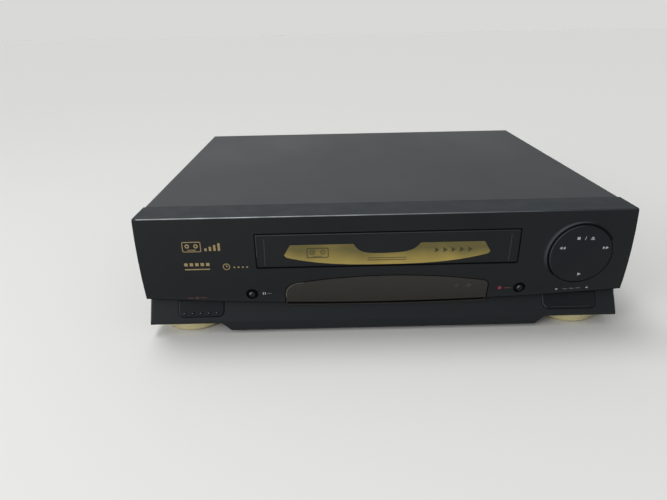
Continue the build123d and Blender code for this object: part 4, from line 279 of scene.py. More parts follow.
# ------------------------------------------------------------------ finishes
class Nodes:
    """Small helper that adds and joins the nodes of one material."""

    def __init__(self, name: str) -> None:
        """Starts a material with an empty tree, a principled shader and an output."""
        self.material = bpy.data.materials.new(name)
        self.material.use_nodes = True
        self.tree = self.material.node_tree
        self.tree.nodes.clear()
        self.shader = self.tree.nodes.new("ShaderNodeBsdfPrincipled")
        output = self.tree.nodes.new("ShaderNodeOutputMaterial")
        self.tree.links.new(self.shader.outputs["BSDF"], output.inputs["Surface"])
        self.place = self.tree.nodes.new("ShaderNodeTexCoord").outputs["Object"]

    def add(self, kind: str, settings: dict | None = None, sockets: dict | None = None) -> bpy.types.Node:
        """Adds a node, sets its properties, and fills or joins its inputs.

        Args:
            kind: type name of the node.
            settings: property values.
            sockets: input name or index to a value or to another node's output.

        Returns:
            The new node.
        """
        node = self.tree.nodes.new(kind)
        for key, value in (settings or {}).items():
            setattr(node, key, value)
        for key, value in (sockets or {}).items():
            if isinstance(value, bpy.types.NodeSocket):
                self.tree.links.new(value, node.inputs[key])
            else:
                node.inputs[key].default_value = value
        return node

    def stretch(self, scale: tuple) -> bpy.types.NodeSocket:
        """Object coordinates multiplied by a scale along each axis."""
        node = self.add("ShaderNodeMapping", sockets={"Vector": self.place, "Scale": scale})
        return node.outputs["Vector"]

    def noise(self, scale: float, detail: float = 3.0, place: bpy.types.NodeSocket | None = None) -> bpy.types.NodeSocket:
        """Value of a noise pattern with a given number of waves per metre."""
        node = self.add(
            "ShaderNodeTexNoise", sockets={"Vector": place or self.place, "Scale": scale, "Detail": detail}
        )
        return node.outputs["Fac"]

    def spread(self, value: bpy.types.NodeSocket, low: float, high: float, span: tuple = (0.3, 0.7)) -> bpy.types.NodeSocket:
        """Maps a pattern's value from span to the range from low to high."""
        node = self.add(
            "ShaderNodeMapRange",
            sockets={"Value": value, "From Min": span[0], "From Max": span[1], "To Min": low, "To Max": high},
        )
        return node.outputs["Result"]

    def between(self, share: bpy.types.NodeSocket, first: tuple, second: tuple) -> bpy.types.NodeSocket:
        """Colour between two, by a share."""
        node = self.add("ShaderNodeMix", {"data_type": "RGBA"})
        self.tree.links.new(share, node.inputs[0])
        node.inputs[6].default_value = first
        node.inputs[7].default_value = second
        return node.outputs[2]

    def bump(self, height: bpy.types.NodeSocket, depth: float, strength: float = 1.0) -> None:
        """Raises the surface by a pattern, depth metres high."""
        node = self.add("ShaderNodeBump", sockets={"Height": height, "Distance": depth, "Strength": strength})
        self.tree.links.new(node.outputs["Normal"], self.shader.inputs["Normal"])

    def set(self, **values: object) -> None:
        """Sets the shader's own sockets; an underscore in a name stands for a space."""
        for key, value in values.items():
            socket = self.shader.inputs[key.replace("_", " ")]
            if isinstance(value, bpy.types.NodeSocket):
                self.tree.links.new(value, socket)
            else:
                socket.default_value = value


def toned(colour: tuple, factor: float, cold: float = 1.0) -> tuple:
    """A colour made lighter or darker by a factor, and colder (above 1) or warmer (below 1) by another."""
    return (colour[0] * factor / cold, colour[1] * factor, colour[2] * factor * cold, 1.0)


@dataclass(frozen=True)
class MouldedPlastic:
    """Spark-eroded moulded plastic: a fine grain, faint flow mottling and slightly polished patches."""

    name: str
    colour: tuple
    roughness: float = 0.5
    grain: float = 1400.0
    grain_depth: float = 0.00003
    mottling: float = 0.12
    gloss: float = 0.3
    # painted highlight: the top strip's tone is made lighter, standing in for light falling on it from above
    painted_top_light: float = 1.0
    painted_top_light_heights: tuple = (0.0995, 0.1008)
    # tone made lighter by this factor below these heights
    lighter_below: float = 1.0
    lighter_below_heights: tuple = (0.036, 0.026)

    def make(self) -> bpy.types.Material:
        """Builds the material; its tone is lighter by one factor above the top heights, a painted highlight on the top
        strip where light falls from above, and by another factor below the low heights.
        """
        nodes = Nodes(self.name)
        tone = linear(*self.colour)
        broad = nodes.noise(14.0, 4.0)
        body = nodes.between(
            nodes.spread(broad, 0.0, 1.0), toned(tone, 1 - self.mottling, 1.04), toned(tone, 1 + self.mottling, 0.94)
        )
        # painted highlight on the top strip, and a plainly lighter tone low down
        for factor, heights in ((self.lighter_below, self.lighter_below_heights), (self.painted_top_light, self.painted_top_light_heights)):
            if factor > 1:
                height = nodes.add("ShaderNodeSeparateXYZ", sockets={"Vector": nodes.place}).outputs["Z"]
                paler = nodes.add("ShaderNodeMix", {"data_type": "RGBA"})
                nodes.tree.links.new(nodes.spread(height, 0.0, 1.0, heights), paler.inputs[0])
                nodes.tree.links.new(body, paler.inputs[6])
                paler.inputs[7].default_value = toned(tone, factor)
                body = paler.outputs[2]
        nodes.set(
            Base_Color=body,
            Roughness=nodes.spread(nodes.noise(60.0, 2.0), self.roughness - 0.05, self.roughness + 0.06),
            Specular_IOR_Level=self.gloss,
        )
        nodes.bump(nodes.noise(self.grain, 2.0), self.grain_depth, 0.35)
        return nodes.material


@dataclass(frozen=True)
class SatinPaint:
    """Stoved textured paint on sheet steel: orange peel, handling smudges and a little dust."""

    name: str
    colour: tuple
    roughness: float = 0.42
    peel: float = 900.0

    def make(self) -> bpy.types.Material:
        """Builds the material."""
        nodes = Nodes(self.name)
        tone = linear(*self.colour)
        smudge = nodes.noise(9.0, 5.0, nodes.stretch((1.0, 0.6, 1.0)))
        speck = nodes.noise(2600.0, 1.0)
        body = nodes.between(nodes.spread(smudge, 0.0, 1.0), toned(tone, 0.93), toned(tone, 1.08))
        dusty = nodes.add("ShaderNodeMix", {"data_type": "RGBA"})
        nodes.tree.links.new(nodes.spread(speck, 0.0, 0.25, (0.62, 0.75)), dusty.inputs[0])
        nodes.tree.links.new(body, dusty.inputs[6])
        dusty.inputs[7].default_value = toned(tone, 1.7)
        nodes.set(
            Base_Color=dusty.outputs[2],
            Roughness=nodes.spread(smudge, self.roughness - 0.06, self.roughness + 0.08),
            Specular_IOR_Level=0.2,
        )
        nodes.bump(nodes.noise(self.peel, 2.0), 0.00004, 0.4)
        return nodes.material


@dataclass(frozen=True)
class BareMetal:
    """Metal with a drawn grain along one axis, patchy reflection and fine scratches."""

    name: str
    colour: tuple
    roughness: float = 0.3
    stretch: tuple = (1.0, 12.0, 12.0)
    grain: float = 180.0
    tarnish: float = 0.12
    metallic: float = 1.0

    def make(self) -> bpy.types.Material:
        """Builds the material."""
        nodes = Nodes(self.name)
        tone = linear(*self.colour)
        drawn = nodes.noise(self.grain, 3.0, nodes.stretch(self.stretch))
        patch = nodes.noise(35.0, 3.0)
        nodes.set(
            Base_Color=nodes.between(nodes.spread(patch, 0.0, 1.0), toned(tone, 1 - self.tarnish), tone),
            Metallic=self.metallic,
            Roughness=nodes.spread(drawn, self.roughness - 0.08, self.roughness + 0.1),
        )
        nodes.bump(drawn, 0.00001, 0.3)
        return nodes.material


@dataclass(frozen=True)
class SmokedPlastic:
    """Clear smoked plastic, dark brown in its depth, with a polished outside."""

    name: str
    colour: tuple
    clear: float = 0.6

    def make(self) -> bpy.types.Material:
        """Builds the material."""
        nodes = Nodes(self.name)
        tone = linear(*self.colour)
        nodes.set(
            Base_Color=nodes.between(nodes.spread(nodes.noise(20.0), 0.0, 1.0), toned(tone, 0.95), toned(tone, 1.05)),
            Roughness=nodes.spread(nodes.noise(45.0, 4.0), 0.12, 0.2),
            Transmission_Weight=self.clear,
            IOR=1.45,
            Specular_IOR_Level=0.4,
        )
        return nodes.material


@dataclass(frozen=True)
class SoftRubber:
    """Matt rubber, dusted by use."""

    name: str
    colour: tuple = (34, 34, 34)

    def make(self) -> bpy.types.Material:
        """Builds the material."""
        nodes = Nodes(self.name)
        tone = linear(*self.colour)
        nodes.set(
            Base_Color=nodes.between(nodes.spread(nodes.noise(50.0, 4.0), 0.0, 1.0), toned(tone, 0.8), toned(tone, 1.4)),
            Roughness=nodes.spread(nodes.noise(200.0), 0.75, 0.9),
            Specular_IOR_Level=0.25,
        )
        nodes.bump(nodes.noise(700.0), 0.00003, 0.4)
        return nodes.material


@dataclass(frozen=True)
class InkAndPaintedLight:
    """Flat colour with a slightly uneven edge tone, used for screen-printed ink and foil and for painted shade and
    highlights.
    """

    name: str
    colour: tuple
    metallic: float = 0.0
    roughness: float = 0.5
    grain: float = 600.0
    gloss: float = 0.3

    def make(self) -> bpy.types.Material:
        """Builds the material."""
        nodes = Nodes(self.name)
        tone = linear(*self.colour)
        nodes.set(
            Base_Color=nodes.between(
                nodes.spread(nodes.noise(self.grain, 2.0), 0.0, 1.0), toned(tone, 0.85), toned(tone, 1.1)
            ),
            Metallic=self.metallic,
            Roughness=nodes.spread(nodes.noise(90.0), self.roughness - 0.06, self.roughness + 0.06),
            Specular_IOR_Level=self.gloss,
        )
        return nodes.material


@dataclass(frozen=True)
class LabelFoil:
    """Brushed gold foil that turns from dull olive at its top to bright gold along its lower edge."""

    name: str
    dull: tuple
    bright: tuple
    low: float = 0.0600
    high: float = 0.0735

    def make(self) -> bpy.types.Material:
        """Builds the material: the share of the bright tone falls with the height over the foil.

        Returns:
            The material.
        """
        nodes = Nodes(self.name)
        height = nodes.add("ShaderNodeSeparateXYZ", sockets={"Vector": nodes.place}).outputs["Z"]
        rise = nodes.spread(height, 1.0, 0.0, (self.low, self.high))
        cloud = nodes.spread(nodes.noise(32.0, 2.0), -0.22, 0.22)
        share = nodes.add("ShaderNodeMath", {"operation": "ADD", "use_clamp": True}, {0: rise, 1: cloud})
        brushed = nodes.noise(260.0, 3.0, nodes.stretch((0.15, 1.0, 3.0)))
        nodes.set(
            Base_Color=nodes.between(share.outputs[0], linear(*self.dull), linear(*self.bright)),
            Metallic=0.25,
            Roughness=nodes.spread(brushed, 0.34, 0.48),
        )
        nodes.bump(brushed, 0.00001, 0.2)
        return nodes.material


@dataclass(frozen=True)
class ScoopLightAndShade:
    """Scoop round the disc's upper left with painted light: a light outer band that fades away, a painted highlight,
    and a dark inner band, painted shade.
    """

    name: str
    colour: tuple
    light: tuple
    dark: tuple
    centre: tuple = (0.1515, 0.0, 0.0646)
    step: float = 0.0259
    inner: float = 0.0264
    outer: float = 0.0294

    def make(self) -> bpy.types.Material:
        """Builds the material.

        With d the distance from the disc's axis and c the cosine of the angle from the upper left, the painted
        highlight's share is a ramp of d from outer to inner times a ramp of c. Inside the step the dark tone of the
        painted shade takes over.

        Returns:
            The material.
        """
        nodes = Nodes(self.name)
        flat = nodes.add("ShaderNodeVectorMath", {"operation": "MULTIPLY"}, {0: nodes.place, 1: (1.0, 0.0, 1.0)})
        away = nodes.add("ShaderNodeVectorMath", {"operation": "SUBTRACT"}, {0: flat.outputs[0], 1: self.centre})
        reach = nodes.add("ShaderNodeVectorMath", {"operation": "LENGTH"}, {0: away.outputs[0]}).outputs["Value"]
        unit = nodes.add("ShaderNodeVectorMath", {"operation": "NORMALIZE"}, {0: away.outputs[0]})
        lean = nodes.add(
            "ShaderNodeVectorMath", {"operation": "DOT_PRODUCT"}, {0: unit.outputs[0], 1: (-0.77, 0.0, 0.64)}
        ).outputs["Value"]
        share = nodes.add(
            "ShaderNodeMath",
            {"operation": "MULTIPLY", "use_clamp": True},
            {
                0: nodes.spread(reach, 1.0, 0.0, (self.inner, self.outer)),
                1: nodes.spread(lean, 0.0, 1.0, (0.35, 0.98)),
            },
        )
        tone = nodes.between(share.outputs[0], linear(*self.colour), linear(*self.light))
        shaded = nodes.add("ShaderNodeMix", {"data_type": "RGBA"})
        nodes.tree.links.new(nodes.spread(reach, 1.0, 0.0, (self.step, self.inner)), shaded.inputs[0])
        nodes.tree.links.new(tone, shaded.inputs[6])
        shaded.inputs[7].default_value = linear(*self.dark)
        nodes.set(
            Base_Color=shaded.outputs[2],
            Roughness=nodes.spread(nodes.noise(300.0), 0.5, 0.6),
            Specular_IOR_Level=0.1,
        )
        return nodes.material


@dataclass(frozen=True)
class EdgeHighlight:
    """Painted highlight along an edge, where light from the left catches it: brightest at the left and broken up by a
    noise.
    """

    name: str
    colour: tuple
    light: tuple
    full: float = -0.11
    gone: float = 0.09

    def make(self) -> bpy.types.Material:
        """Builds the material: the painted highlight's share falls along X and is broken by a noise.

        Returns:
            The material.
        """
        nodes = Nodes(self.name)
        along = nodes.add("ShaderNodeSeparateXYZ", sockets={"Vector": nodes.place}).outputs["X"]
        fall = nodes.spread(along, 1.0, 0.0, (self.full, self.gone))
        broken = nodes.spread(nodes.noise(60.0, 4.0, nodes.stretch((1.0, 0.2, 0.2))), 0.45, 1.0)
        share = nodes.add("ShaderNodeMath", {"operation": "MULTIPLY", "use_clamp": True}, {0: fall, 1: broken})
        nodes.set(
            Base_Color=nodes.between(share.outputs[0], linear(*self.colour), linear(*self.light)),
            Roughness=nodes.spread(nodes.noise(500.0), 0.3, 0.42),
            Specular_IOR_Level=0.35,
        )
        return nodes.material


@dataclass(frozen=True)
class CircuitBoard:
    """Board with a solder mask, a field of copper tracks under it and pale component print."""

    name: str
    colour: tuple

    def make(self) -> bpy.types.Material:
        """Builds the material."""
        nodes = Nodes(self.name)
        tone = linear(*self.colour)
        tracks = nodes.add(
            "ShaderNodeTexBrick",
            {"offset": 0.37, "offset_frequency": 3},
            {"Vector": nodes.place, "Scale": 90.0, "Mortar Size": 0.018, "Brick Width": 2.2, "Row Height": 0.13,
             "Color1": toned(tone, 0.8), "Color2": toned(tone, 1.2), "Mortar": toned(tone, 0.6)},
        )
        nodes.set(
            Base_Color=tracks.outputs["Color"],
            Roughness=nodes.spread(nodes.noise(150.0), 0.35, 0.5),
        )
        nodes.bump(tracks.outputs["Fac"], 0.00003, 0.5)
        return nodes.material


# ------------------------------------------------------------------ finishes of the recorder
@dataclass
class Finishes:
    """All finishes, made once, and the one that each material slot of the record takes."""

    made: dict = field(default_factory=dict)

    def slots(self) -> dict:
        """Finish of each slot of the record."""
        return {
            "cover_steel": SatinPaint("Cover_paint", (56, 58, 60), 0.5),
            "front_plastic": MouldedPlastic("Front_plastic", (31, 34, 36), 0.5, gloss=0.1, painted_top_light=2.0, lighter_below=1.35),
            "key_plastic": MouldedPlastic("Key_plastic", (28, 32, 35), 0.44, grain=2000.0, gloss=0.1),
            "smoked_lens": SmokedPlastic("Smoked_lens", (46, 43, 38), 0.35),
            "display_glass": MouldedPlastic("Display_glass", (30, 36, 36), 0.12, gloss=0.5, grain_depth=0.0),
            "gold_trim": BareMetal("Gold_trim", (226, 216, 168), 0.22, (1.0, 1.0, 30.0), 40.0, 0.05, 0.7),
            "pad_rubber": SoftRubber("Pad_rubber"),
            "bottom_steel": SatinPaint("Bottom_sheet", (120, 122, 120), 0.45),
            "tub_plastic": MouldedPlastic("Tub_plastic", (38, 38, 40), 0.6),
            "socket_plastic": MouldedPlastic("Socket_plastic", (30, 30, 30), 0.4, gloss=0.4),
            "plated": BareMetal("Nickel_plating", (196, 194, 188), 0.25),
            "deck_steel": BareMetal("Zinc_plating", (178, 180, 178), 0.34),
            "shaft_steel": BareMetal("Ground_steel", (208, 208, 208), 0.16, (1.0, 1.0, 20.0)),
            "drum_aluminium": BareMetal("Turned_aluminium", (205, 206, 208), 0.22, (1.0, 1.0, 16.0)),
            "board": CircuitBoard("Circuit_board", (118, 92, 46)),
            "transformer_iron": SatinPaint("Varnished_iron", (86, 76, 58), 0.5),
            "capacitor_can": MouldedPlastic("Capacitor_sleeve", (34, 38, 66), 0.3, gloss=0.5),
            "white_acetal": MouldedPlastic("White_acetal", (222, 220, 208), 0.4),
            "black_acetal": MouldedPlastic("Black_acetal", (32, 32, 33), 0.4),
            "roller_rubber": SoftRubber("Roller_rubber", (40, 40, 41)),
            "bearing_brass": BareMetal("Bearing_bronze", (190, 158, 92), 0.35),
        }

    def extras(self) -> dict:
        """Finishes that only new pieces use."""
        return {
            "label_foil": LabelFoil("Label_foil", (98, 90, 46), (168, 148, 74)),
            "gold_ink": InkAndPaintedLight("Gold_ink", (152, 134, 96), 0.2, 0.45),
            "pale_ink": InkAndPaintedLight("Pale_ink", (168, 172, 172)),
            "dim_ink": InkAndPaintedLight("Dim_ink", (112, 116, 116)),
            "red_ink": InkAndPaintedLight("Red_ink", (138, 50, 66)),
            "dim_red_ink": InkAndPaintedLight("Dim_red_ink", (104, 62, 58)),
            "dark_ink": InkAndPaintedLight("Dark_ink", (62, 58, 36)),
            # painted highlight lines: the flap's end lines, the standby key's left edge and the channel key's crease
            "line_highlight": InkAndPaintedLight("Line_highlight", (54, 58, 60)),
            "seam_shade": InkAndPaintedLight("Seam_shade", (9, 10, 11), roughness=0.9, gloss=0.02),
            "lens_mark": InkAndPaintedLight("Lens_mark", (53, 51, 47)),
            # painted highlight inside the lens's upper left corner
            "lens_highlight": InkAndPaintedLight("Lens_highlight", (112, 110, 98)),
            "key_glint": InkAndPaintedLight("Key_glint", (78, 84, 88)),
            "cap_glint": InkAndPaintedLight("Cap_glint", (116, 122, 124)),
            "dot_glint": InkAndPaintedLight("Dot_glint", (84, 91, 94)),
            # painted highlight along the flap's upper and left edges
            "flap_edge_highlight": EdgeHighlight("Flap_edge_highlight", (28, 32, 35), (66, 70, 72), -0.06, 0.10),
            # painted highlight in the scoop's outer band and painted shade in its inner band
            "scoop_light_and_shade": ScoopLightAndShade("Scoop_light_and_shade", (28, 32, 35), (78, 84, 87), (9, 10, 11)),
            # painted highlight on the top front edge, brightest at the left where light falls
            "top_highlight": EdgeHighlight("Top_highlight", (42, 46, 48), (172, 178, 180), -0.12, 0.15),
            "faint_print": InkAndPaintedLight("Faint_print", (86, 92, 92)),
            "slot_shadow": InkAndPaintedLight("Slot_shadow", (26, 25, 24), roughness=0.85, gloss=0.05),
            "yellow_insulator": MouldedPlastic("Yellow_insulator", (206, 172, 40), 0.4),
            "white_insulator": MouldedPlastic("White_insulator", (220, 218, 210), 0.4),
            "red_insulator": MouldedPlastic("Red_insulator", (176, 42, 36), 0.4),
            "contact_gold": BareMetal("Contact_gold", (214, 180, 98), 0.25),
        }

    def get(self, key: str) -> bpy.types.Material:
        """Material of a finish, made when it is first asked for."""
        if key not in self.made:
            self.made[key] = (self.slots() | self.extras())[key].make()
        return self.made[key]

    def dress_nodes(self) -> None:
        """Gives every CAD node the finish of its slot in the record."""
        for entry in frame["record"]["subparts"]:
            node = frame["nodes"][entry["node"]]
            finish = self.get(entry["material_slot"])
            if not node.material_slots:
                node.data.materials.append(finish)
            for place in node.material_slots:
                place.material = finish
        log.info("dressed %d nodes", len(frame["nodes"]))


# ------------------------------------------------------------------ front
@dataclass
class FlapLabel:
    """Gold foil label across the flap and the dark symbols on it, sizes in mm."""

    face: CurvedFace = field(default_factory=CurvedFace)
    level: float = -0.7
    left: float = -77.8
    right: float = 81.0
    middle: float = 1.5
    top: float = 77.8
    dip: float = 69.7
    fall_from: float = -24.3
    fall: float = 4.2
    rise_to: float = 27.3
    rise: float = 5.8
    lowest: float = 60.2
    sag: float = 7.8
    tip: float = 69.4
    end_slope: float = 1.7
    foot_slope: float = 1.2
    ink: float = 0.08
    line: float = 0.7
    # x of the painted highlight lines at the flap's ends
    highlight_xs: tuple = (-92.8, 96.2)

    def outline(self) -> np.ndarray:
        """Label between its two edges.

        The upper edge is the top height beside the dip, and dip + (top - dip) e^(-d / scale) in it, with
        d the way from the dip's end. The lower edge is lowest + sag |u|^2.8, with u from -1 to 1 over the
        label. Straight slopes cut both edges to a tip at each end.

        Returns:
            Grid of (x, z) in mm.
        """
        x = np.linspace(self.left, self.right, 201)
        held = np.maximum(np.exp((self.fall_from - x) / self.fall), np.exp((x - self.rise_to) / self.rise))
        upper = self.dip + (self.top - self.dip) * np.clip(held, 0, 1)
        ends = np.minimum(x - self.left, self.right - x)
        upper = np.minimum(upper, self.tip + self.end_slope * ends + 0.15)
        share = np.abs(x - self.middle) / (self.right - self.middle)
        lower = np.maximum(self.lowest + self.sag * share**2.8, self.tip - self.foot_slope * ends)
        rows = np.linspace(0, 1, 9)[None, :]
        z = lower[:, None] * (1 - rows) + upper[:, None] * rows
        return np.stack([np.repeat(x[:, None], 9, axis=1), z], axis=-1)

    def symbols(self) -> list:
        """Cassette pictogram at the left, two level lines in the middle, a row of arrowheads at the right."""
        shapes = [frame_line(-52.0, 71.0, 17.0, 8.4, self.line, 1.4), bar(-52.0, 68.2, 7.0, 0.5)]
        for x in (-56.0, -48.0):
            shapes += [ring(x, 71.6, 1.5, 2.1), ring(x, 71.6, 0.02, 0.6)]
        shapes += [bar(self.middle, 64.0 + 1.8 * k, 30.0, 0.6) for k in range(2)]
        shapes += [arrowhead(40.0 + 6.4 * k, 71.4, 3.4, 4.4, Facing.RIGHT) for k in range(5)]
        return shapes

    def build(self, finishes: Finishes) -> None:
        """Makes the foil, its symbols, and the faint painted highlight lines across the flap's ends.

        Args:
            finishes: all finishes.
        """
        foil = Shell("flap_label")
        self.face.print_on(foil, self.outline(), self.level, 0.05)
        foil.build("flap_door", finishes.get("label_foil"), "gold_trim")
        ink = Shell("flap_label_symbols")
        for shape in self.symbols():
            self.face.print_on(ink, shape, self.level + self.ink)
        ink.build("flap_door", finishes.get("dark_ink"), "gold_trim")
        # painted highlight lines where light catches the flap's ends
        highlight_lines = Shell("flap_end_highlights")
        for x in self.highlight_xs:
            self.face.print_on(highlight_lines, bar(x, 72.2, 0.45, 22.0, 0.02), self.level)
        highlight_lines.build("flap_door", finishes.get("line_highlight"), "front_plastic")


@dataclass
class FrontPrint:
    """Small generic marks beside the keys, in white, red and gold, sizes in mm."""

    face: CurvedFace = field(default_factory=CurvedFace)

    def build(self, finishes: Finishes) -> None:
        """Makes the marks on the front panel and on the disc."""
        self.white_marks().build("casing", finishes.get("pale_ink"), "front_plastic")
        self.dim_marks().build("casing", finishes.get("dim_ink"), "front_plastic")
        self.red_marks().build("casing", finishes.get("red_ink"), "front_plastic")
        self.dim_red_marks().build("casing", finishes.get("dim_red_ink"), "front_plastic")
        self.gold_marks().build("casing", finishes.get("gold_ink"), "gold_trim")
        self.disc_marks().build("disc", finishes.get("pale_ink"), "key_plastic")

    def white_marks(self) -> Shell:
        """Two upright bars beside the still key, and the arrows of the channel key."""
        shell = Shell("white_marks")
        for x in (-96.4, -94.9):
            self.face.print_on(shell, bar(x, 35.8, 0.7, 2.2), 0)
        self.face.print_on(shell, arrowhead(138.5, 33.3, 1.6, 2.4, Facing.DOWN), 0)
        self.face.print_on(shell, arrowhead(162.7, 34.9, 1.6, 2.4, Facing.UP), 0)
        return shell

    def dim_marks(self) -> Shell:
        """Fine line that joins the channel arrows, and one after the still mark."""
        shell = Shell("dim_marks")
        self.face.print_on(shell, bar(-91.6, 35.7, 3.4, 0.5), 0)
        for k in range(3):
            self.face.print_on(shell, bar(145.4 + 5.1 * k, 33.7 + 0.34 * k, 3.6, 0.5), 0)
        return shell

    def red_marks(self) -> Shell:
        """Round record mark."""
        shell = Shell("red_marks")
        self.face.print_on(shell, ring(92.5, 36.2, 0.02, 1.5), 0)
        return shell

    def dim_red_marks(self) -> Shell:
        """Line after the record mark, and the broken ring of the standby key between two lines."""
        shell = Shell("dim_red_marks")
        self.face.print_on(shell, bar(98.9, 36.0, 5.2, 0.7), 0)
        self.face.print_on(shell, ring(-149.5, 32.9, 0.85, 1.25, 120, 300), 0)
        self.face.print_on(shell, bar(-149.5, 33.6, 0.4, 1.3), 0)
        for x in (-154.6, -144.4):
            self.face.print_on(shell, bar(x, 32.9, 5.0, 0.5), 0)
        return shell

    def gold_marks(self) -> Shell:
        """Cassette pictogram with level bars, a row of squares over a line, and a clock with dots."""
        shell = Shell("gold_marks")
        self.face.print_on(shell, frame_line(-147.8, 78.4, 14.4, 8.4, 0.6, 1.3), 0)
        for x in (-151.1, -144.5):
            self.face.print_on(shell, ring(x, 79.0, 0.8, 1.7), 0)
        self.face.print_on(shell, bar(-147.8, 75.9, 6.4, 0.5), 0)
        for k in range(4):
            height = 2.2 + 1.3 * k
            self.face.print_on(shell, bar(-137.2 + 3.4 * k, 74.9 + height / 2, 1.8, height), 0)
        for k in range(5):
            self.face.print_on(shell, bar(-153.8 + 4.2 * k, 63.6, 2.6, 2.6), 0)
        self.face.print_on(shell, bar(-145.4, 59.4, 19.4, 0.9), 0)
        self.face.print_on(shell, ring(-122.8, 61.2, 2.2, 2.8), 0)
        self.face.print_on(shell, bar(-122.8, 62.1, 0.55, 1.9), 0)
        self.face.print_on(shell, bar(-122.1, 61.2, 1.7, 0.55), 0)
        for k in range(4):
            self.face.print_on(shell, ring(-116.8 + 3.3 * k, 60.6, 0.02, 0.7), 0)
        return shell

    def disc_marks(self) -> Shell:
        """Stop and eject above, play below, and double arrows at both sides."""
        shell = Shell("disc_marks")
        level = -0.2
        self.face.print_on(shell, bar(147.8, 78.4, 2.2, 2.2), level)
        self.face.print_on(shell, bar(153.2, 78.4, 0.4, 3.0, 0.25), level)
        self.face.print_on(shell, arrowhead(158.6, 78.9, 1.6, 3.0, Facing.UP), level)
        self.face.print_on(shell, bar(158.6, 77.3, 3.0, 0.55), level)
        self.face.print_on(shell, arrowhead(153.7, 47.5, 2.8, 2.8, Facing.RIGHT), level)
        for x in (135.2, 137.6):
            self.face.print_on(shell, arrowhead(x, 70.6, 2.1, 2.4, Facing.LEFT), level)
        for x in (168.7, 171.1):
            self.face.print_on(shell, arrowhead(x, 70.2, 2.1, 2.4, Facing.RIGHT), level)
        return shell


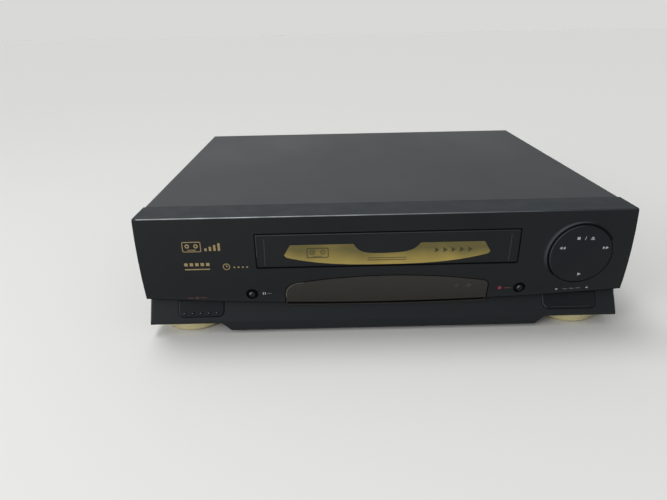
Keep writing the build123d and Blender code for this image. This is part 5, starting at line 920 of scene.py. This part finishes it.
@dataclass
class FrontEdges:
    """Painted shade in the gaps and painted highlights on the edges of the front, drawn on its arc, sizes in mm."""

    face: CurvedFace = field(default_factory=CurvedFace)
    half_width: float = 190.0
    edge_middle: float = 25.0
    edge_end: float = 33.0
    lens_left: float = -79.1
    lens_right: float = 83.0
    lens_shoulder: float = 43.5
    lens_crown: float = 50.5
    lens_corners: tuple = (11.0, 5.0)
    lens_lip: float = 2.6
    opening: tuple = (-100.0, 103.5, 59.0, 87.5)
    flap: tuple = (-99.4, 102.9, 59.6, 87.0)
    flap_level: float = -0.7
    disc: tuple = (151.5, 64.6)
    disc_hole: float = 24.7
    scoop_shift: float = 2.6
    scoop_slope: float = 1.732
    scoop_depth: float = 0.55
    casing_top: float = 101.0
    top_bend: float = 1.8
    cap_places: tuple = ((-105.4, 35.4), (108.3, 36.0))
    cap_proud: float = 0.6
    cap_flat: float = 2.0
    cap_bend: float = 1.2
    cap_ring: tuple = (2.5, 3.19)

    def panel_edge(self, x: np.ndarray) -> np.ndarray:
        """Lower edge of the panel: the arc through its middle and its two ends."""
        rise = self.edge_end - self.edge_middle
        radius = (self.half_width**2 + rise**2) / (2 * rise)
        return self.edge_middle + radius - np.sqrt(radius**2 - x**2)

    def lens_outline(self) -> np.ndarray:
        """Outline of the lens from its lower left round its arched top to its lower right.

        The arch is the arc through both shoulders and the crown. A corner of radius r is centred r in from
        the side, on the circle r inside the arch, and its arc ends where it touches the arch.
        """
        middle = (self.lens_left + self.lens_right) / 2
        half = (self.lens_right - self.lens_left) / 2
        rise = self.lens_crown - self.lens_shoulder
        radius = (half**2 + rise**2) / (2 * rise)
        centre = np.array([middle, self.lens_crown - radius])
        left_corner, right_corner = self.lens_corners
        ends = []
        for side_x, corner, way in ((self.lens_left, left_corner, 1), (self.lens_right, right_corner, -1)):
            x = side_x + way * corner
            z = centre[1] + math.sqrt((radius - corner) ** 2 - (x - middle) ** 2)
            lean = math.atan2(z - centre[1], x - middle)
            start = math.pi if way > 0 else 0.0
            turn = np.linspace(start, lean, 13)
            arc = np.stack([x + corner * np.cos(turn), z + corner * np.sin(turn)], axis=-1)
            foot = self.panel_edge(np.array([side_x]))[0] - self.lens_lip + 1.6
            upright = np.stack([np.full(9, side_x), np.linspace(foot, z, 10)[:9]], axis=-1)
            ends.append((np.concatenate([upright, arc]), lean))
        turn = np.linspace(ends[0][1], ends[1][1], 62)[1:-1]
        arch = centre + radius * np.stack([np.cos(turn), np.sin(turn)], axis=-1)
        return np.concatenate([ends[0][0], arch, ends[1][0][::-1]])

    def outline(self, box: tuple, out: float) -> list:
        """Four lines round a rectangle, each one out from its side."""
        left, right, low, high = box
        across = np.linspace(left - out, right + out, 60)
        upright = np.linspace(low - out, high + out, 20)
        return [
            np.stack([across, np.full(60, high + out)], axis=-1),
            np.stack([across, np.full(60, low - out)], axis=-1),
            np.stack([np.full(20, left - out), upright], axis=-1),
            np.stack([np.full(20, right + out), upright], axis=-1),
        ]

    def gaps(self) -> Shell:
        """Painted shade round the lens, along its lower edge, round the opening, and along the panel's lower edge
        beside the lens.
        """
        shell = Shell("seam_shades")
        self.face.print_on(shell, stroke(self.lens_outline(), 0.7), 0)
        for path in self.outline(self.opening, -0.3):
            self.face.print_on(shell, stroke(path, 0.6), -0.3)
        for path in self.outline(self.opening, 0.15)[:2]:
            self.face.print_on(shell, stroke(path, 0.3), 0)
        x = np.linspace(self.lens_left + 1.2, self.lens_right - 1.2, 61)
        path = np.stack([x, self.panel_edge(x) - 0.45], axis=-1)
        self.face.print_on(shell, stroke(path, 1.9), -0.19)
        for low, high in ((-self.half_width + 0.4, self.lens_left - 0.4), (self.lens_right + 0.4, self.half_width - 0.4)):
            x = np.linspace(low, high, 40)
            self.face.print_on(shell, stroke(np.stack([x, self.panel_edge(x) + 0.3], axis=-1), 0.4), 0)
        return shell

    def lens_highlight(self) -> Shell:
        """Painted highlight: a light line inside the lens's upper left corner."""
        shell = Shell("lens_highlight")
        line = self.lens_outline()[7:24] + np.array([0.85, -0.5])
        self.face.print_on(shell, stroke(line, 0.35), -0.2)
        return shell

    def lens_marks(self) -> Shell:
        """Two faint patches behind the lens's right part."""
        shell = Shell("lens_marks")
        self.face.print_on(shell, ring(57.6, 39.4, 0.02, 1.7), -0.2)
        self.face.print_on(shell, ring(67.6, 39.6, 0.02, 2.2), -0.2)
        return shell

    def flap_highlights(self) -> Shell:
        """Light line along the flap's upper edge and down its left one."""
        shell = Shell("flap_highlights")
        left, right, low, high = self.flap
        x = np.linspace(left + 0.8, right - 0.8, 60)
        self.face.print_on(shell, stroke(np.stack([x, np.full(60, high - 1.0)], axis=-1), 0.45), self.flap_level)
        z = np.linspace(low + 9, high - 0.8, 20)
        self.face.print_on(shell, stroke(np.stack([np.full(20, left + 0.6), z], axis=-1), 0.35), self.flap_level)
        return shell

    def scoop(self) -> Shell:
        """Sheet with painted highlight and shade on the rounded scoop beside the disc, between the panel's face and the
        disc's hole.

        Its outer edge is the circle about a centre moved by the shift to the upper left, whose radius is
        hole + shift - slope * (depth of the face). At angle a it lies at
        rho = k cos(a - 135) + sqrt(r^2 - k^2 sin^2(a - 135)), and the sheet sinks by depth * t^2 inwards.
        """
        turn = np.radians(np.linspace(28.0, 238.0, 121))
        lean = turn - math.radians(135)
        rho = np.full(len(turn), self.disc_hole + self.scoop_shift)
        for _ in range(4):
            height = self.disc[1] + rho * np.sin(turn)
            radius = self.disc_hole + self.scoop_shift - self.scoop_slope * (self.face.depth(height, 0) - self.face.front)
            rho = self.scoop_shift * np.cos(lean) + np.sqrt(radius**2 - (self.scoop_shift * np.sin(lean)) ** 2)
        outer = np.maximum(rho + 0.1, self.disc_hole + 0.3)
        share = np.linspace(0, 1, 9)
        reach = outer[:, None] * (1 - share) + (self.disc_hole + 0.05) * share
        x = self.disc[0] + reach * np.cos(turn)[:, None]
        z = self.disc[1] + reach * np.sin(turn)[:, None]
        shell = Shell("disc_scoop_painted_light")
        sheets = []
        for back in (0.0, 0.12):
            level = -0.01 - self.scoop_depth * share[None, :] ** 2 - back
            y = self.face.front + self.face.radius - np.sqrt(
                (self.face.radius + level) ** 2 - (z - self.face.apex) ** 2
            )
            sheets.append(np.stack([x, y, z], axis=-1) * MM)
        shell.add_slab(sheets[0], sheets[1])
        return shell

    def disc_edge_highlight(self) -> Shell:
        """Painted highlight: a light line round the disc's upper left edge."""
        shell = Shell("disc_edge_highlight")
        self.face.print_on(shell, tapered_arc(*self.disc, 23.75, 0.4, 85, 130), -0.2)
        return shell

    def top_edge(self) -> Shell:
        """Painted highlight strip on the bend between the face and the top.

        The bend's centre lies one radius below the top, on the circle one radius inside the face's arc. The
        strip follows the bend at angles f over the level: centre + r (-cos f, sin f).
        """
        centre_z = self.casing_top - self.top_bend
        inside = self.face.radius - self.top_bend
        centre_y = self.face.front + self.face.radius - math.sqrt(inside**2 - (centre_z - self.face.apex) ** 2)
        along, bend = np.meshgrid(np.linspace(-187.0, 187.0, 75), np.radians(np.linspace(36, 62, 6)), indexing="ij")
        sheets = [
            np.stack([along, centre_y - radius * np.cos(bend), centre_z + radius * np.sin(bend)], axis=-1) * MM
            for radius in (self.top_bend + 0.02, self.top_bend - 0.05)
        ]
        shell = Shell("top_edge_highlight")
        shell.add_slab(sheets[0], sheets[1])
        return shell

    def cap_shade(self, name: str, place: tuple) -> Shell:
        """Shade on the rounded rim of a round key, at flat + bend sin f from its axis."""
        inner, outer = self.cap_ring
        reach = np.linspace(inner, outer, 7)
        drop = self.cap_bend - np.sqrt(self.cap_bend**2 - (reach - self.cap_flat) ** 2)
        turn = np.linspace(0, 2 * math.pi, 48, endpoint=False)[:, None]
        front = self.face.depth(np.array(place[1]), 0) - self.cap_proud
        sheets = [
            np.stack(
                [
                    place[0] + reach * np.cos(turn),
                    np.broadcast_to(front + drop + back, (48, len(reach))),
                    place[1] + reach * np.sin(turn),
                ],
                axis=-1,
            )
            * MM
            for back in (-0.02, 0.05)
        ]
        shell = Shell(name)
        shell.add_slab(sheets[0], sheets[1], closed_path=True)
        return shell

    def cap_glint(self, name: str, place: tuple) -> Shell:
        """Light crescent on the flat of a round key, at its upper left."""
        shape = tapered_arc(place[0], place[1], 1.95, 1.1, 75, 120)
        front = self.face.depth(np.array(place[1]), 0) - self.cap_proud
        sheets = [
            np.stack([shape[..., 0], np.full(shape.shape[:2], front + back), shape[..., 1]], axis=-1) * MM
            for back in (-0.03, 0.03)
        ]
        shell = Shell(name)
        shell.add_slab(sheets[0], sheets[1])
        return shell

    def build(self, finishes: Finishes) -> None:
        """Makes every shade and edge.

        Args:
            finishes: all finishes.
        """
        self.gaps().build("casing", finishes.get("seam_shade"), "front_plastic")
        self.lens_highlight().build("casing", finishes.get("lens_highlight"), "smoked_lens")
        self.lens_marks().build("casing", finishes.get("lens_mark"), "smoked_lens")
        self.flap_highlights().build("flap_door", finishes.get("flap_edge_highlight"), "front_plastic")
        self.scoop().build("casing", finishes.get("scoop_light_and_shade"), "front_plastic", smooth=True)
        self.disc_edge_highlight().build("disc", finishes.get("key_glint"), "key_plastic")
        self.top_edge().build("casing", finishes.get("top_highlight"), "front_plastic")
        for key, place in zip(("still", "record"), self.cap_places):
            self.cap_shade(f"{key}_cap_shade", place).build(f"{key}_key", finishes.get("seam_shade"), "key_plastic")
            self.cap_glint(f"{key}_cap_glint", place).build(f"{key}_key", finishes.get("cap_glint"), "key_plastic")


@dataclass
class SlopeEdges:
    """Shades and lights on the apron's slope and its two long keys, sizes in mm.

    A place on the slope is (x, s), with s the way up it from its middle. With f = (lean, climb) the
    direction up the slope in (y, z), it lies at y = y0 + lean s - climb lift, z = z0 + climb s + lean lift.
    """

    middle: tuple = (-149.5, 21.5)
    lean: float = 0.5145
    climb: float = 0.8575
    half_width: float = 189.8
    key_low: float = -7.35
    key_high: float = 5.6
    standby: tuple = (-167.4, -130.2, 4.5, 4.5)
    channel: tuple = (130.0, 174.0, 6.0, 4.5)
    proud: float = 0.3
    dot_proud: float = 0.8
    dot_row: tuple = (-162.0, 6.6, -4.55)
    crease: tuple = (138.2, 168.8, -5.5)

    def print_on(self, shell: Shell, shape: np.ndarray, level: float, ink: float = 0.03) -> None:
        """Adds a flat shape of (x, s) as a thin layer on the slope, raised by a level: ink for print, and also painted
        shade and highlights.
        """
        sheets = []
        for lift in (level + ink, level - ink):
            x, s = shape[..., 0], shape[..., 1]
            y = self.middle[0] + self.lean * s - self.climb * lift
            z = self.middle[1] + self.climb * s + self.lean * lift
            sheets.append(np.stack([x, y, z], axis=-1) * MM)
        shell.add_slab(sheets[0], sheets[1])

    def key_path(self, key: tuple, out: float) -> np.ndarray:
        """Path down a key's left side, round both lower corners and up its right side.

        A corner of radius r about (cx, cs) gives (cx + (r + out) cos a, cs + (r + out) sin a).
        """
        left, right, left_corner, right_corner = key
        down = np.stack([np.full(9, left - out), np.linspace(self.key_high, self.key_low + left_corner, 10)[:9]], axis=-1)
        pieces = [down]
        for x, corner, start in ((left + left_corner, left_corner, 180), (right - right_corner, right_corner, 270)):
            turn = np.radians(np.linspace(start, start + 90, 11))
            reach = corner + out
            pieces.append(
                np.stack([x + reach * np.cos(turn), self.key_low + corner + reach * np.sin(turn)], axis=-1)
            )
        up = np.stack([np.full(9, right + out), np.linspace(self.key_low + right_corner, self.key_high, 10)[1:]], axis=-1)
        return np.concatenate(pieces + [up])

    def gaps(self) -> Shell:
        """Shade in the gap beside and under each key, on its left only faintly."""
        shell = Shell("key_seam_shades")
        self.print_on(shell, stroke(self.key_path(self.standby, 0.3)[18:], 0.5), 0.0)
        self.print_on(shell, stroke(self.key_path(self.channel, 0.3)[16:24], 0.35), 0.0)
        return shell

    def dot_shades(self) -> Shell:
        """Shade at the right foot of each raised dot of the standby key."""
        start, pitch, row = self.dot_row
        shell = Shell("standby_dot_shades")
        for k in range(5):
            self.print_on(shell, ring(start + pitch * k, row, 0.85, 1.35, -120, 200), self.proud)
        return shell

    def dot_glints(self) -> Shell:
        """Light on the left of each raised dot."""
        start, pitch, row = self.dot_row
        shell = Shell("standby_dot_glints")
        for k in range(5):
            self.print_on(shell, ring(start - 0.2 + pitch * k, row, 0.02, 0.5), self.dot_proud)
        return shell

    def key_glint(self, name: str, key: tuple, width: float) -> Shell:
        """Light line down a key's left edge and round its corner."""
        shell = Shell(name)
        self.print_on(shell, stroke(self.key_path(key, -0.85)[:17], width), self.proud)
        return shell

    def apron_glints(self) -> Shell:
        """Light line down the slope's left edge and along the upper part of its right one."""
        shell = Shell("apron_edge_glints")
        for x, low, high in ((-self.half_width + 0.5, -10.0, 9.5), (self.half_width - 0.4, 2.0, 9.0)):
            s = np.linspace(low, high, 14)
            self.print_on(shell, stroke(np.stack([np.full(14, x), s], axis=-1), 0.5), 0.0)
        return shell

    def build(self, finishes: Finishes) -> None:
        """Makes every shade and light of the slope.

        Args:
            finishes: all finishes.
        """
        self.gaps().build("casing", finishes.get("seam_shade"), "front_plastic")
        self.dot_shades().build("standby_key", finishes.get("seam_shade"), "key_plastic")
        self.dot_glints().build("standby_key", finishes.get("dot_glint"), "key_plastic")
        self.key_glint("standby_edge_glint", self.standby, 0.3).build(
            "standby_key", finishes.get("line_highlight"), "key_plastic"
        )
        self.key_glint("channel_edge_glint", self.channel, 0.4).build(
            "channel_key", finishes.get("key_glint"), "key_plastic"
        )
        left, right, row = self.crease
        # painted highlight along the lower side of the channel key's crease
        crease = Shell("channel_crease_highlight")
        self.print_on(crease, bar((left + right) / 2, row, right - left, 0.3), self.proud)
        crease.build("channel_key", finishes.get("line_highlight"), "key_plastic")
        self.apron_glints().build("casing", finishes.get("key_glint"), "front_plastic")


@dataclass
class DisplayPrint:
    """Unlit segments on the front of the display tube, seen faintly through the lens, sizes in mm."""

    digit_height: float = 8.0
    digit_width: float = 4.6
    line: float = 0.9

    def digit(self, x: float, z: float) -> list:
        """Seven bars of one digit: three level ones and four upright ones."""
        half = self.digit_height / 2
        across = [bar(x, z + k * half, self.digit_width - 1.2, self.line) for k in (-1, 0, 1)]
        upright = [
            bar(x + sx * self.digit_width / 2, z + sz * half / 2, self.line, half - 1.2)
            for sx in (-1, 1)
            for sz in (-1, 1)
        ]
        return across + upright

    def build(self, finishes: Finishes) -> None:
        """Makes the segments in front of the tube."""
        low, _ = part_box("display_tube")
        shell = Shell("display_segments")
        shapes = [bar(8.0, 40.9, 1.0, 1.0), bar(8.0, 44.1, 1.0, 1.0)]
        for x in (-28.0, -20.0, -8.0, 0.0, 16.0, 24.0):
            shapes += self.digit(x, 42.5)
        shapes += [ring(46.0, 42.5, 1.6, 2.6), ring(56.0, 42.5, 1.6, 2.6)]
        for shape in shapes:
            flat = np.stack([shape[..., 0], np.full(shape.shape[:2], low.y / MM), shape[..., 1]], axis=-1)
            outer = (flat - [0, 0.08, 0]) * MM
            shell.add_slab(outer, (flat + [0, 0.04, 0]) * MM)
        shell.build("casing", finishes.get("faint_print"), "display_glass")


# ------------------------------------------------------------------ rear and fixings
@dataclass
class RearDetails:
    """Insulators of the phono sockets, contacts of the two large sockets, painted shade in the screws' cross slots,
    sizes in mm.
    """

    socket_height: float = 31.0
    phono_xs: tuple = (78.0, 92.0, 106.0)
    scart_xs: tuple = (-22.0, 38.0)
    screw_xs: tuple = (-142.5, 0.0, 142.5)
    screw_height: float = 94.5

    def build(self, finishes: Finishes) -> None:
        """Makes the details on the rear."""
        colours = ("yellow_insulator", "white_insulator", "red_insulator")
        for x, key in zip(self.phono_xs, colours):
            shell = Shell(f"phono_collar_{key.split('_')[0]}")
            profile = np.array([[4.25, 0.0], [5.7, 0.0], [5.7, 1.0], [5.3, 1.4], [4.25, 1.4]])
            shell.add_tube(self.turned(profile, x), closed_path=True)
            shell.build("casing", finishes.get(key), "socket_plastic", smooth=False)
            log.info("collar %s", key)
        contacts = Shell("scart_contacts")
        for x in self.scart_xs:
            for k in range(10):
                for row, shift in ((33.4, 0.0), (28.8, 1.9)):
                    self.block(contacts, (x - 17.0 + 3.8 * k + shift, 150.0, row), (1.6, 0.5, 1.8))
        contacts.build("casing", finishes.get("contact_gold"), "plated")
        # dark crosses painted as the shade inside the screws' slots
        shade_crosses = Shell("screw_slot_shades")
        for x in self.screw_xs:
            for size in ((3.2, 0.3, 0.7), (0.7, 0.3, 3.2)):
                self.block(shade_crosses, (x, 151.95, self.screw_height), size)
        shade_crosses.build("casing", finishes.get("slot_shadow"), "plated")

    def turned(self, profile: np.ndarray, x: float) -> np.ndarray:
        """Ring about a socket: (x + r cos a, y0 + h, z + r sin a) for each profile point (r, h)."""
        turn = np.linspace(0, 2 * math.pi, 48, endpoint=False)[:, None]
        radius, height = profile[None, :, 0], profile[None, :, 1]
        points = np.stack(
            [
                x + radius * np.cos(turn),
                np.broadcast_to(150.4 + height, (48, len(profile))),
                self.socket_height + radius * np.sin(turn),
            ],
            axis=-1,
        )
        return points * MM

    def block(self, shell: Shell, centre: tuple, size: tuple) -> None:
        """Small block with rounded ends: |u|^4 + |v|^4 = 1 gives its outline in x and z."""
        turn = np.linspace(0, 2 * math.pi, 16, endpoint=False)
        u = np.sign(np.cos(turn)) * np.abs(np.cos(turn)) ** 0.5
        v = np.sign(np.sin(turn)) * np.abs(np.sin(turn)) ** 0.5
        rings = [
            np.stack(
                [
                    centre[0] + u * size[0] / 2,
                    np.full(16, centre[1] + depth * size[1] / 2),
                    centre[2] + v * size[2] / 2,
                ],
                axis=-1,
            )
            for depth in (-1, 1)
        ]
        shell.add_tube(np.stack(rings) * MM)


# ------------------------------------------------------------------ studio
@dataclass
class Studio:
    """Pale floor, soft light and the camera of the photograph."""

    focal_px: float = 504.94
    width_px: float = 667.0
    place: tuple = (-0.04160, -0.50824, 0.23155)
    pitch: float = 0.421852
    yaw: float = 0.0052784
    roll: float = -0.0201557
    paper: tuple = (220, 220, 218)
    far_paper: tuple = (217, 217, 215)
    surround: tuple = (0.85, 0.35)
    sun: float = 1.2

    def camera(self) -> None:
        """Sets the camera.

        With x' and y' turned about Z by the yaw, the view is y' cos p - z sin p, and up is
        y' sin p + z cos p; the roll then turns right and up about the view.
        """
        side = np.array([math.cos(self.yaw), -math.sin(self.yaw), 0.0])
        ahead = np.array([math.sin(self.yaw), math.cos(self.yaw), 0.0])
        up = np.array([0.0, 0.0, 1.0])
        view = math.cos(self.pitch) * ahead - math.sin(self.pitch) * up
        above = math.sin(self.pitch) * ahead + math.cos(self.pitch) * up
        right = math.cos(self.roll) * side + math.sin(self.roll) * above
        top = -math.sin(self.roll) * side + math.cos(self.roll) * above
        data = bpy.data.cameras.new("Camera")
        data.sensor_fit = "HORIZONTAL"
        data.sensor_width = 36.0
        data.lens = self.focal_px * 36.0 / self.width_px
        data.clip_start = 0.01
        camera = bpy.data.objects.new("Camera", data)
        turn = Matrix((right, top, -view)).transposed().to_4x4()
        camera.matrix_world = Matrix.Translation(Vector(self.place)) @ turn
        bpy.context.scene.collection.objects.link(camera)
        bpy.context.scene.camera = camera

    def floor(self) -> None:
        """Pale plain floor that keeps the object's shadow."""
        mesh = bpy.data.meshes.new("Floor")
        half = 12.0
        mesh.from_pydata([(-half, -half, 0), (half, -half, 0), (half, half, 0), (-half, half, 0)], [], [(0, 1, 2, 3)])
        nodes = Nodes("Floor_paper")
        nodes.set(Base_Color=linear(*self.paper), Roughness=0.95, Specular_IOR_Level=0.05)
        mesh.materials.append(nodes.material)
        floor = bpy.data.objects.new("Floor", mesh)
        bpy.context.scene.collection.objects.link(floor)

    def world(self) -> None:
        """Soft surroundings, brighter at the left, shown to the camera and through clear parts as pale as the floor."""
        world = bpy.data.worlds.new("Studio")
        world.use_nodes = True
        bpy.context.scene.world = world
        tree = world.node_tree
        tree.nodes.clear()
        path = tree.nodes.new("ShaderNodeLightPath")
        soft = tree.nodes.new("ShaderNodeBackground")
        soft.inputs["Color"].default_value = (1.0, 1.0, 1.0, 1.0)
        heading = tree.nodes.new("ShaderNodeTexCoord")
        across = tree.nodes.new("ShaderNodeSeparateXYZ")
        tree.links.new(heading.outputs["Generated"], across.inputs[0])
        fall = tree.nodes.new("ShaderNodeMapRange")
        tree.links.new(across.outputs["X"], fall.inputs["Value"])
        for key, value in zip(("From Min", "From Max", "To Min", "To Max"), (-0.7, 0.7, *self.surround)):
            fall.inputs[key].default_value = value
        tree.links.new(fall.outputs["Result"], soft.inputs["Strength"])
        pale = tree.nodes.new("ShaderNodeBackground")
        pale.inputs["Color"].default_value = linear(*self.far_paper)
        seen = tree.nodes.new("ShaderNodeMath")
        seen.operation = "MAXIMUM"
        tree.links.new(path.outputs["Is Camera Ray"], seen.inputs[0])
        tree.links.new(path.outputs["Is Transmission Ray"], seen.inputs[1])
        mix = tree.nodes.new("ShaderNodeMixShader")
        tree.links.new(seen.outputs[0], mix.inputs[0])
        tree.links.new(soft.outputs[0], mix.inputs[1])
        tree.links.new(pale.outputs[0], mix.inputs[2])
        output = tree.nodes.new("ShaderNodeOutputWorld")
        tree.links.new(mix.outputs[0], output.inputs["Surface"])

    def lamp(self, name: str, place: tuple, target: tuple, size: float, watts: float) -> None:
        """Square area lamp that looks from its place at a target."""
        data = bpy.data.lights.new(name, "AREA")
        data.shape = "SQUARE"
        data.size = size
        data.energy = watts
        lamp = bpy.data.objects.new(name, data)
        lamp.location = place
        lamp.rotation_euler = (Vector(target) - Vector(place)).to_track_quat("-Z", "Y").to_euler()
        bpy.context.scene.collection.objects.link(lamp)

    def daylight(self) -> None:
        """Very soft light from above, a little behind and from the left, even over the whole floor."""
        data = bpy.data.lights.new("Daylight", "SUN")
        data.energy = self.sun
        data.angle = math.radians(28)
        lamp = bpy.data.objects.new("Daylight", data)
        lamp.rotation_euler = Vector((0.25, -0.3, -1.0)).to_track_quat("-Z", "Y").to_euler()
        bpy.context.scene.collection.objects.link(lamp)

    def build(self) -> None:
        """Sets the whole stage."""
        self.camera()
        self.floor()
        self.world()
        self.daylight()
        self.lamp("Front_fill", (-1.0, -0.95, 0.5), (-0.12, -0.12, 0.06), 0.5, 6.0)
        bpy.context.scene.view_settings.view_transform = "Standard"


def main() -> None:
    """Builds the stage, dresses the nodes and adds every piece."""
    logging.basicConfig(level=logging.INFO)
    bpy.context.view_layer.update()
    finishes = Finishes()
    for part in (Studio(),):
        part.build()
    finishes.dress_nodes()
    for part in (FlapLabel(), FrontPrint(), FrontEdges(), SlopeEdges(), DisplayPrint(), RearDetails()):
        log.info("building %s", type(part).__name__)
        part.build(finishes)


if __name__ == "__main__":
    main()
